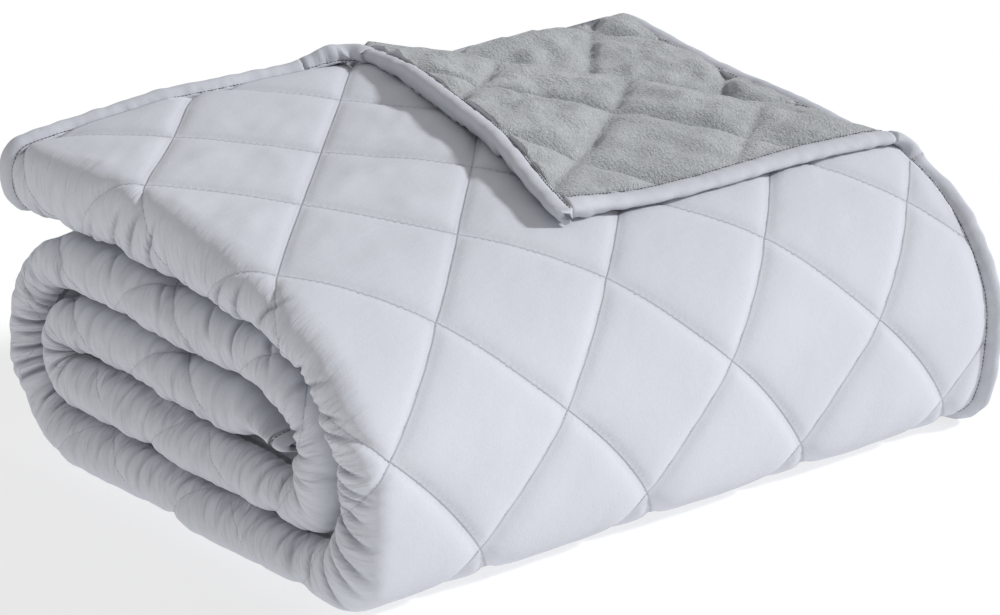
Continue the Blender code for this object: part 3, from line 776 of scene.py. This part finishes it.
def build_quilt(materials):
    shell = Shell()
    last = None
    last_row = 0.0
    for row, face_step in station_rows():
        y, z, out_y, out_z = station(row)
        turned = row < FRONT_START + 1e-6
        smooth, plush = Line(), Line()
        start_x = add_turned_corner(y, smooth, plush) if turned else SIDE_X
        corner = [sum(len(part) for part in line.parts) for line in (smooth, plush)]
        add_plies(row, smooth, plush, start_x, turned, face_step)
        lines = []
        for line in (smooth, plush):
            cells = line.rows()
            out = cells[:, 2]
            spots = np.stack([cells[:, 1], y + out * out_y, z + out * out_z], 1)
            lines.append((cells[:, 0], shell.place(spots, cells[:, 3:7])))
        if last is None:
            shell.stitch(*lines, 0)
        else:
            older, older_corner, older_turned = last
            if older_turned and not turned:
                heads = [(keys[:cut + 1], start) for (keys, start), cut in zip(older, older_corner)]
                shell.stitch(*heads, 1)
                older = [(keys[cut:], start + cut) for (keys, start), cut in zip(older, older_corner)]
            if (row - last_row) * HALF_DIAGONAL > LONG_STEP:
                stitch_fold(shell, older[0], fold_line(shell, last_row, row), lines[0])
            else:
                shell.stitch(older[0], lines[0], 0)
            shell.stitch(older[1], lines[1], 1)
            for end in (0, -1):
                around = (older[0], lines[0], lines[1], older[1])
                shell.face(0, *(start + (len(keys) - 1 if end else 0) for keys, start in around))
        last = lines, corner, turned
        last_row = row
    shell.stitch(*last[0], 0)
    shell.spots = [finish_spots(np.concatenate(shell.spots))]
    return shell.build("quilted_sheet", materials)


# Bound edges
def climb(table, level_of):
    """The binding's way between the first ply and the turned corner."""
    places = []
    for across, back, rise, outward in table:
        y = back * HALF_DIAGONAL
        middle = np.array([across * HALF_DIAGONAL, y, level_of(y) + rise * 2 * ROLL_RADIUS])
        places.append((middle, np.array(outward)))
    path = []
    for number, (middle, outward) in enumerate(places):
        before = places[max(number - 1, 0)][0]
        after = places[min(number + 1, len(places) - 1)][0]
        path.append((middle, outward, np.cross(after - before, outward)))
    return path


def first_ply_z(y):
    radius = (layer_z(4) - layer_z(0)) / 2 + 1.5 * PITCH
    into = max(NEAR_Y - y, 0.0)
    return layer_z(4) + 1.5 * PITCH - radius + math.sqrt(radius * radius - into * into)


def turned_over(path):
    return [(middle, outward, -np.array(upright, float)) for middle, outward, upright in path]


def fold_path(z, y, outward, start_x, end_x, tilt=0.0):
    """The middle of the strip's four plies and three folds, from the first ply to the second,
    with the tape turned up from the first ply and the left fold by a tilt, and hanging down
    beside the part of the second ply that shows under the turned corner."""
    rows = [(x, 1.5 * PITCH, 0, 1) for x in np.linspace(start_x, FOLD_X, 24)[:-1]]
    folds = (
        (FOLD_X, 0, 1.5 * PITCH, 90, 270, 12),
        (RIGHT_FOLD_X, -PITCH, PITCH / 2, -90, 90, 8),
        (FOLD_X, 0, PITCH / 2, 270, 90, 8),
    )
    for middle_x, middle_out, radius, start, end, count in folds:
        for x, out in zip(*arc(middle_x, middle_out, radius, start, end, count)):
            up = ((x - middle_x) / radius, (out - middle_out) / radius)
            if start > end:
                up = (-up[0], -up[1])
            rows.append((x, out, *up))
    rows += [(x, PITCH / 2, 0, -1) for x in np.linspace(FOLD_X, end_x, 24)[1:]]
    path = []
    for number, (x, out, up_x, up_z) in enumerate(rows):
        turned = tilt * float(smooth_step((TILTED_PART - number) / TILT_EASING))
        if number > TILTED_PART:
            turned = BARE_TILT * tilt * float(smooth_step((x / HALF_DIAGONAL - BARE_START) / BARE_EASING))
        cos, sin = math.cos(turned), math.sin(turned)
        rise, back = sin * TAPE_WIDTH / 2, outward * (1 - cos) * TAPE_WIDTH / 2
        middle = (x + up_x * rise, y - back, z + out + up_z * rise)
        upright = (up_x * cos, -outward * sin, up_z * cos)
        path.append((middle, (up_x * sin, outward * cos, up_z * sin), upright))
    return path


def side_path(rows, x, out, tilts=((0.0, 0.0),)):
    """The bound side of one ply, wound with the strip, turned up from it by a table of tilts."""
    path = []
    for row in rows:
        y, z, out_y, out_z = station(row)
        tilt = math.radians(interpolate(tilts, row))
        cos, sin = math.cos(tilt), math.sin(tilt)
        x_here = x - BESIDE + PIECE_GAP + cos * TAPE_WIDTH / 2
        out_here = out + sin * TAPE_WIDTH / 2
        middle = (x_here, y + out_here * out_y, z + out_here * out_z)
        path.append((middle, (cos, sin * out_y, sin * out_z), (-sin, cos * out_y, cos * out_z)))
    return path


def unit(vectors):
    return vectors / np.maximum(np.linalg.norm(vectors, axis=1, keepdims=True), 1e-9)


def refine(path, step):
    """Even steps along a path, with its corners eased."""
    places = [np.array([row[n] for row in path], float) for n in range(3)]
    length = np.concatenate([[0], np.cumsum(np.linalg.norm(np.diff(places[0], axis=0), axis=1))])
    even = np.linspace(0, length[-1], max(4, round(length[-1] / step)))
    fine = [np.stack([np.interp(even, length, column) for column in place.T], 1) for place in places]
    for _ in range(3):
        for place in fine:
            place[1:-1] = (place[:-2] + 2 * place[1:-1] + place[2:]) / 4
    return even, fine[0], unit(fine[1]), unit(fine[2])


# Half of the tape's section, from its sewn edge to its outer edge: place across, height
TAPE_PROFILE = (
    (-1.00, 0.42), (-0.97, 0.72), (-0.86, 0.80), (-0.74, 0.66), (-0.56, 0.92),
    (-0.14, 1.14), (0.30, 1.14), (0.66, 0.92), (0.90, 0.52), (1.00, 0.00),
)


def build_binding(name, paths, material, seed):
    """A bound edge: tape folded over the sheet's edge, sewn down along both sides."""
    shell = Shell()
    frames = []
    width, thick = TAPE_WIDTH / 2, TAPE_THICKNESS / 2
    section = list(TAPE_PROFILE) + [(side, -rise) for side, rise in TAPE_PROFILE[-2::-1]]
    count = len(section)
    for path in paths:
        even, middle, outward, upright = refine(path, TAPE_STEP)
        swell = 1 + 0.08 * waves(seed, 0.022, even) + 0.06 * waves(seed + 1, 0.008, even)
        if name.startswith("binding_outer_end") and path is paths[0]:
            for place, depth in ROLL_CREASES:
                swell -= depth * bell(even / HALF_DIAGONAL - place, ROLL_CREASE_WIDTH)
            place, spread, more = ROLL_SWELL
            swell += more * bell(even / HALF_DIAGONAL - place, spread)
        rings = []
        for side, rise in section:
            pucker = 1 + 0.14 * waves(seed + 2, 0.006, even) * (side < -0.3)
            drawn = 0.0005 * waves(seed + 3, 0.012, even) * (side > 0.5)
            across = (side * width + drawn)[:, None]
            rings.append(middle + outward * across + upright * (rise * thick * swell * pucker)[:, None])
        spots = finish_spots(np.stack(rings, 1).reshape(-1, 3))
        sides = np.tile([side for side, _ in section], len(even))
        blank = np.zeros(count * len(even))
        start = shell.place(spots, np.stack([np.repeat(even, count), sides, blank, blank], 1))
        for ring in range(len(even) - 1):
            first, second = start + ring * count, start + (ring + 1) * count
            for corner in range(count):
                beside = (corner + 1) % count
                shell.face(0, first + corner, first + beside, second + beside, second + corner)
        shell.face(0, *range(start, start + count))
        shell.face(0, *range(start + (len(even) - 1) * count, start + len(even) * count))
        frames.append((middle, outward, upright, swell))
    return shell.build(name, [material]), frames


def binding_paths():
    flap_z = layer_z(4) + FLAP_Z
    top_z = layer_z(4) + 1.5 * PITCH
    lean = np.array((-1.0, FLAP_SIDE_LEAN, 0.0))
    flap_side = []
    for back in np.linspace(FLAP_CORNER_Y, 4.65, 20):
        y = back * HALF_DIAGONAL
        flap_side.append(((flap_side_x(y) - BESIDE, y, flap_z), lean, (0, 0, -1)))
    around = climb(END_CLIMB, lambda y: top_z)
    end_y = END_Y + BESIDE
    lower_x = LOWER_SIDE_X + PIECE_GAP + TAPE_WIDTH
    end = fold_path(top_z - 1.5 * PITCH, end_y, 1, 2.02 * HALF_DIAGONAL, lower_x, END_TILT)
    outer_end = flap_side + around + end
    stub = [((x * HALF_DIAGONAL, end_y, top_z), (0, 1, 0), (0, 0, 1)) for x in np.linspace(*CREST_STUB, 8)]

    y = NEAR_Y - BESIDE
    flap_front = []
    start = flap_side_x(y) + PIECE_GAP
    for x in columns(start, 6.2 * HALF_DIAGONAL, 0.012):
        flap_front.append(((x, y, flap_z), (-FLAP_SIDE_LEAN, -1, 0) if x == start else (0, -1, 0), (0, 0, 1)))
    around = turned_over(climb(SIDE_CLIMB, first_ply_z)[::-1])
    wound = np.arange(3.76, MARKS[-1], 0.06)
    upper = flap_front + around + turned_over(side_path(wound, SIDE_X + BESIDE, 1.5 * PITCH, SIDE_TILT))

    lower = side_path(np.arange(FIRST_STATION, MARKS[-1], 0.06), LOWER_SIDE_X + BESIDE, PITCH / 2)
    inner_y = INNER_Y - BESIDE
    inner = fold_path(layer_z(2), inner_y, -1, SIDE_X + PIECE_GAP + TAPE_WIDTH, lower_x)
    return {
        "binding_outer_end": (outer_end, stub),
        "binding_upper_side": (upper,),
        "binding_lower_side": (lower,),
        "binding_inner_end": (inner,),
    }


# Stitches
def stitches_along(points, pitch, long, radius):
    """Small spindles of thread along runs of points, each run an array of points."""
    spots, faces = [], []
    ring = ((1, 0), (0, 1), (-1, 0), (0, -1))
    for run in points:
        if len(run) < 2:
            continue
        gaps = np.linalg.norm(np.diff(run, axis=0), axis=1)
        length = np.concatenate([[0], np.cumsum(gaps)])
        starts = np.arange(0.0004, length[-1] - long, pitch)
        a = np.stack([np.interp(starts, length, c) for c in run.T], 1)
        b = np.stack([np.interp(starts + long, length, c) for c in run.T], 1)
        if not len(a):
            continue
        along = unit(b - a)
        side = unit(np.cross(along, (0.3, 0.2, 1.0)))
        up = np.cross(side, along)
        for start, end, s, u in zip(a, b, side, up):
            first = len(spots)
            spots.append(start)
            for share in (0.2, 0.8):
                middle = start + (end - start) * share
                for across, rise in ring:
                    spots.append(middle + (s * across + u * rise) * radius)
            spots.append(end)
            for n in range(4):
                m = (n + 1) % 4
                faces.append((first, first + 1 + m, first + 1 + n))
                faces.append((first + 1 + n, first + 1 + m, first + 5 + m, first + 5 + n))
                faces.append((first + 9, first + 5 + n, first + 5 + m))
    return spots, faces


def seam_runs():
    """Runs of points along the quilting seams of the faces that show."""
    runs = []
    for number in range(-10, 20):
        for sign in (1, -1):
            row = np.arange(FIRST_STATION + 0.02, MARKS[-1] - 0.02, SEAM_STEP)
            across = (2 * number - row) * sign
            shown = (across < SIDE_X / HALF_DIAGONAL - 0.02) & (across > FOLD_END_A + 0.10)
            wide = (row < 6.9) | ((row > MARKS[3]) & (row < MARKS[4]))
            shown &= wide | (across < FOLD_A + 0.05)
            y = (FIRST_ROW - row * ROW_STEP) * HALF_DIAGONAL
            under = (row < FRONT_START + 0.02) & (across * HALF_DIAGONAL > flap_side_x(y) - TAPE_WIDTH)
            shown &= ~under
            for part in np.split(np.arange(len(row)), np.flatnonzero(np.diff(shown.astype(int))) + 1):
                if len(part) > 3 and shown[part[0]]:
                    runs.append(outer_face(across[part], row[part], SEAM_LIFT))
    return runs


def edge_runs(frames):
    """Runs along the sewn edge of a tape, on both its sides."""
    middle, outward, upright, swell = frames
    inward = -0.80 * TAPE_WIDTH / 2
    rise = (0.76 * TAPE_THICKNESS / 2 * swell + 0.0001)[:, None]
    return [finish_spots(middle + outward * inward + upright * rise * side) for side in (1, -1)]


def build_thread(name, runs, material, pitch=STITCH_PITCH, long=STITCH_LENGTH, radius=STITCH_RADIUS):
    spots, faces = stitches_along(runs, pitch, long, radius)
    return put(name, smooth_mesh(name, spots, faces, [material]))


# Materials
class Nodes:
    """Short names for adding and joining a material's nodes."""

    def __init__(self, name):
        self.material = bpy.data.materials.new(name)
        self.material.use_nodes = True
        self.tree = self.material.node_tree
        self.shader = self.tree.nodes["Principled BSDF"]

    def add(self, kind, **settings):
        node = self.tree.nodes.new(kind)
        for key, value in settings.items():
            setattr(node, key, value)
        return node

    def keep(self, socket, value):
        """Set one of the shader's own constants."""
        self.shader.inputs[socket].default_value = value

    def pattern(self):
        """Place across, seam row and 1 on quilted cloth, as the mesh holds them."""
        places = self.add("ShaderNodeAttribute", attribute_name="pattern")
        parts = self.add("ShaderNodeSeparateXYZ")
        self.join(places.outputs["Vector"], parts.inputs[0])
        return parts.outputs

    def fade(self, value, start, end, first, last):
        """Go smoothly from the first value at start to the last at end."""
        node = self.add("ShaderNodeMapRange", interpolation_type="SMOOTHSTEP")
        self.join(value, node.inputs["Value"])
        for socket, number in (("From Min", start), ("From Max", end), ("To Min", first), ("To Max", last)):
            node.inputs[socket].default_value = number
        return node.outputs[0]

    def place(self):
        return self.add("ShaderNodeTexCoord").outputs["Object"]

    def finish(self, colour, normal=None):
        self.join(colour, self.shader.inputs["Base Color"])
        if normal is not None:
            self.join(normal, self.shader.inputs["Normal"])
        return self.material

    def times(self, first, second):
        return self.math("MULTIPLY", first, second)

    def join(self, source, target):
        self.tree.links.new(source, target)

    def math(self, operation, first, second=None):
        node = self.tree.nodes.new("ShaderNodeMath")
        node.operation = operation
        for socket, value in zip(node.inputs, (first, second)):
            if value is None:
                continue
            if isinstance(value, (int, float)):
                socket.default_value = value
            else:
                self.join(value, socket)
        return node.outputs[0]

    def turned(self, places, rotation, scale):
        """Places turned and stretched, for marks that run one way."""
        node = self.add("ShaderNodeMapping")
        self.join(places, node.inputs["Vector"])
        node.inputs["Rotation"].default_value = rotation
        node.inputs["Scale"].default_value = scale
        return node.outputs[0]

    def noise(self, vector, scale, detail=2.0, roughness=0.5):
        node = self.tree.nodes.new("ShaderNodeTexNoise")
        self.join(vector, node.inputs["Vector"])
        node.inputs["Scale"].default_value = scale
        node.inputs["Detail"].default_value = detail
        node.inputs["Roughness"].default_value = roughness
        return node.outputs["Fac"]

    def ramp(self, factor, stops):
        node = self.tree.nodes.new("ShaderNodeValToRGB")
        ramp = node.color_ramp
        ramp.elements[0].position, ramp.elements[0].color = stops[0][0], (*stops[0][1], 1)
        ramp.elements[1].position, ramp.elements[1].color = stops[-1][0], (*stops[-1][1], 1)
        for place, colour in stops[1:-1]:
            ramp.elements.new(place).color = (*colour, 1)
        self.join(factor, node.inputs["Fac"])
        return node.outputs["Color"]

    def darken(self, colour, factor, shade):
        node = self.add("ShaderNodeMix", data_type="RGBA", blend_type="MULTIPLY")
        self.join(factor, node.inputs["Factor"])
        self.join(colour, node.inputs["A"])
        node.inputs["B"].default_value = (*shade, 1)
        return node.outputs["Result"]

    def bump(self, height, distance, strength=1.0, normal=None):
        node = self.tree.nodes.new("ShaderNodeBump")
        node.inputs["Distance"].default_value = distance
        node.inputs["Strength"].default_value = strength
        self.join(height, node.inputs["Height"])
        if normal is not None:
            self.join(normal, node.inputs["Normal"])
        return node.outputs["Normal"]


INVERSE_E = 0.36788          # 1 / e, so that a seam's mask falls off as a bell
FOLDED_FROM = -1.55          # place across, past which cloth counts as on the left fold


def seam_mask(nodes, width):
    """Near 1 on a quilting seam and 0 away from it, from the pattern's own places."""
    across, row, quilted = nodes.pattern()
    total = nodes.math("PINGPONG", nodes.math("ADD", row, across), 1.0)
    difference = nodes.math("PINGPONG", nodes.math("SUBTRACT", row, across), 1.0)
    nearest = nodes.math("MINIMUM", total, difference)
    distance = nodes.times(nearest, HALF_DIAGONAL / math.sqrt(2) / width)
    square = nodes.times(distance, distance)
    mask = nodes.math("POWER", INVERSE_E, square)
    return nodes.times(mask, quilted)


def fold_share(nodes, flat, folded):
    """One value on the flat outer face, going over to another on the left fold."""
    return nodes.fade(nodes.pattern()[0], FOLDED_FROM, -1.0, folded, flat)


def gathers(nodes):
    """Fine gathers across the left fold, and faint wrinkles elsewhere, laid out in the pattern."""
    across, row, _ = nodes.pattern()
    spread = nodes.add("ShaderNodeCombineXYZ")
    nodes.join(nodes.times(across, 2.2), spread.inputs[0])
    nodes.join(nodes.math("ADD", nodes.times(row, 13.0), nodes.times(across, 3.0)), spread.inputs[1])
    ripple = nodes.noise(spread.outputs[0], 1.0, 2.5, 0.55)
    return nodes.times(ripple, nodes.fade(across, -1.02, FOLDED_FROM, 0.04, 1.0))


SMOOTH_SHADES = (
    (0.30, (0.600, 0.616, 0.664)), (0.55, (0.612, 0.627, 0.675)), (0.75, (0.622, 0.636, 0.682)),
)
PLUSH_SHADES = (
    (0.36, (0.31, 0.325, 0.338)), (0.52, (0.455, 0.474, 0.488)), (0.66, (0.56, 0.577, 0.59)),
)


def smooth_cloth():
    nodes = Nodes("smooth_cloth")
    place = nodes.place()
    shade = nodes.noise(place, 14, 4, 0.55)
    colour = nodes.ramp(shade, SMOOTH_SHADES)
    # Painted shade: the colour is darkened along each quilting seam, standing for the shade in its sewn
    # channel, and less on the left fold. The same mask also sets the seams' bump below.
    seam = nodes.times(seam_mask(nodes, 0.0007), fold_share(nodes, 1.0, 0.35))
    colour = nodes.darken(colour, nodes.times(seam, 0.30), (0.45, 0.46, 0.50))
    # Painted shade in the bottoms of the pleats round the left fold, darker the deeper the pleat
    crease_shade = nodes.add("ShaderNodeAttribute", attribute_name="crease_shade")
    colour = nodes.darken(colour, nodes.times(crease_shade.outputs["Fac"], 0.70), (0.36, 0.36, 0.40))
    nodes.keep("Roughness", 0.95)
    nodes.keep("Specular IOR Level", 0.06)
    nodes.keep("Sheen Weight", 0.08)
    nodes.keep("Sheen Roughness", 0.45)
    weave = nodes.noise(place, 900, 2, 0.6)
    brushed = nodes.noise(place, 160, 3, 0.6)
    normal = nodes.bump(weave, 0.00025, 0.6)
    normal = nodes.bump(brushed, 0.0006, 0.35, normal)
    wrinkles = nodes.turned(place, (0.5, 0.6, 0.7), (1.0, 4.5, 1.0))
    normal = nodes.bump(nodes.noise(wrinkles, 48, 2, 0.5), 0.0004, 0.45, normal)
    normal = nodes.bump(gathers(nodes), 0.0046, 1.0, normal)
    normal = nodes.bump(nodes.times(seam, -1.0), 0.0006, 0.8, normal)
    return nodes.finish(colour, normal)


def plush_cloth():
    nodes = Nodes("plush_cloth")
    place = nodes.place()
    lay = nodes.turned(place, (0.0, 0.0, 0.6), (1.0, 0.55, 0.8))
    pile = nodes.noise(lay, 820, 2, 0.6)
    tufts = nodes.noise(lay, 420, 2, 0.5)
    mottle = nodes.noise(place, 26, 3, 0.5)
    mixed = nodes.math("ADD", nodes.times(pile, 0.6), nodes.times(mottle, 0.4))
    colour = nodes.ramp(mixed, PLUSH_SHADES)
    # Painted shade: the plush colour is darkened along each quilting seam, standing for the shade in the sewn
    # channel between the puffs
    seam = seam_mask(nodes, 0.0022)
    colour = nodes.darken(colour, nodes.times(seam, 0.5), (0.55, 0.55, 0.57))
    nodes.keep("Roughness", 0.95)
    nodes.keep("Specular IOR Level", 0.15)
    nodes.keep("Sheen Weight", 0.5)
    nodes.keep("Sheen Roughness", 0.5)
    normal = nodes.bump(pile, 0.0017, 0.9)
    normal = nodes.bump(tufts, 0.0016, 0.7, normal)
    return nodes.finish(colour, normal)


def tape_cloth():
    nodes = Nodes("tape_cloth")
    place = nodes.place()
    shade = nodes.noise(place, 30, 3, 0.5)
    colour = nodes.ramp(shade, ((0.30, (0.510, 0.525, 0.570)), (0.70, (0.575, 0.590, 0.635))))
    nodes.keep("Roughness", 0.9)
    nodes.keep("Specular IOR Level", 0.08)
    nodes.keep("Sheen Weight", 0.08)
    weave = nodes.noise(place, 900, 2, 0.6)
    puckers = nodes.noise(place, 120, 2, 0.5)
    normal = nodes.bump(puckers, 0.0012, 0.5, nodes.bump(weave, 0.00025, 0.6))
    return nodes.finish(colour, normal)


def sewing_thread(name, dark, pale):
    nodes = Nodes(name)
    place = nodes.place()
    colour = nodes.ramp(nodes.noise(place, 400, 2), ((0.3, dark), (0.7, pale)))
    nodes.keep("Roughness", 0.6)
    return nodes.finish(colour)


def floor_surface():
    nodes = Nodes("pale_floor")
    nodes.keep("Base Color", (0.45, 0.45, 0.455, 1))
    nodes.keep("Roughness", 0.9)
    nodes.keep("Emission Color", (1.0, 1.0, 1.0, 1))
    nodes.keep("Emission Strength", 0.60)
    return nodes.material


# Stage
CAMERA_PLACE = (-14.5652634, -18.7743627, 10.5507978)     # in half diagonals, in the pattern's frame
CAMERA_PITCH = 0.324801542
CAMERA_HEADING = 0.68295488
CAMERA_LENS = 102.85
KEY_HEADING = math.radians(-33.0)
KEY_HEIGHT = math.radians(30.0)
KEY_STRENGTH = 2.65
KEY_COLOUR = (0.975, 0.985, 1.0)
KEY_DISTANCE = 3.0
SUN_WIDTH = math.radians(7.0)
SIDE_LIGHT_PLACE = (-2.60, 0.90, 0.45)
SIDE_POWER = 4.0
SIDE_COLOUR = (1.0, 0.985, 0.965)
SIDE_AIM = (0.0, 0.0, 0.1)   # a place low in the pile
SIDE_SIZE = 1.1
WORLD_STRENGTH = 0.45
FLOOR_SIZE = 6.0


def add_light(name, kind, energy, colour, place, towards):
    """A light at a place, which shines against the direction that leads towards it."""
    light = bpy.data.lights.new(name, kind)
    light.energy = energy
    light.color = colour
    lamp = put(name, light)
    lamp.location = place
    lamp.rotation_euler = towards.to_track_quat("Z", "Y").to_euler()
    return light


def build_stage():
    camera = bpy.data.cameras.new("camera")
    camera.lens = CAMERA_LENS
    camera.sensor_width = 36.0
    item = put("camera", camera)
    item.location = Vector(np.array(CAMERA_PLACE) * HALF_DIAGONAL + SHIFT)
    item.rotation_euler = (math.pi / 2 - CAMERA_PITCH, 0.0, -CAMERA_HEADING)
    camera.clip_start = 0.05
    bpy.context.scene.camera = item

    mesh = bpy.data.meshes.new("floor")
    cage = bmesh.new()
    bmesh.ops.create_grid(cage, x_segments=8, y_segments=8, size=FLOOR_SIZE)
    cage.to_mesh(mesh)
    cage.free()
    mesh.materials.append(floor_surface())
    floor = put("floor", mesh)

    towards = Vector((math.cos(KEY_HEADING), math.sin(KEY_HEADING), math.tan(KEY_HEIGHT)))
    sun = add_light("key_light", "SUN", KEY_STRENGTH, KEY_COLOUR, towards * KEY_DISTANCE, towards)
    sun.angle = SUN_WIDTH

    place = Vector(SIDE_LIGHT_PLACE)
    side = add_light("side_light", "AREA", SIDE_POWER, SIDE_COLOUR, place, place - Vector(SIDE_AIM))
    side.shape = "DISK"
    side.size = SIDE_SIZE

    world = bpy.data.worlds.new("studio")
    world.use_nodes = True
    background = world.node_tree.nodes["Background"]
    background.inputs["Color"].default_value = (1.0, 1.0, 1.0, 1)
    background.inputs["Strength"].default_value = WORLD_STRENGTH
    bpy.context.scene.view_settings.view_transform = "Standard"
    bpy.context.scene.world = world


def main():
    build_stage()
    smooth, plush, tape = smooth_cloth(), plush_cloth(), tape_cloth()
    thread = sewing_thread("sewing_thread", (0.30, 0.31, 0.34), (0.42, 0.43, 0.47))
    # The edge thread is nearly black: partly the thread's own colour, partly painted shade of the groove
    # beside the tape
    dark_thread_and_shade = sewing_thread("edge_sewing_thread_and_shade", (0.07, 0.07, 0.08), (0.13, 0.13, 0.15))
    quilt = build_quilt([smooth, plush])
    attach(quilt, "root")
    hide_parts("quilt")
    edges = []
    for number, (name, paths) in enumerate(binding_paths().items()):
        piece, frames = build_binding(name + "_tape", paths, tape, 60 + 5 * number)
        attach(piece, "root")
        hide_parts(name)
        for run in frames:
            edges += edge_runs(run)
    threads = (
        build_thread("quilting_thread", seam_runs(), thread),
        build_thread("edge_thread_and_shade", edges, dark_thread_and_shade, EDGE_PITCH, EDGE_STITCH, EDGE_RADIUS),
    )
    for stitches in threads:
        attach(stitches, "root")


main()
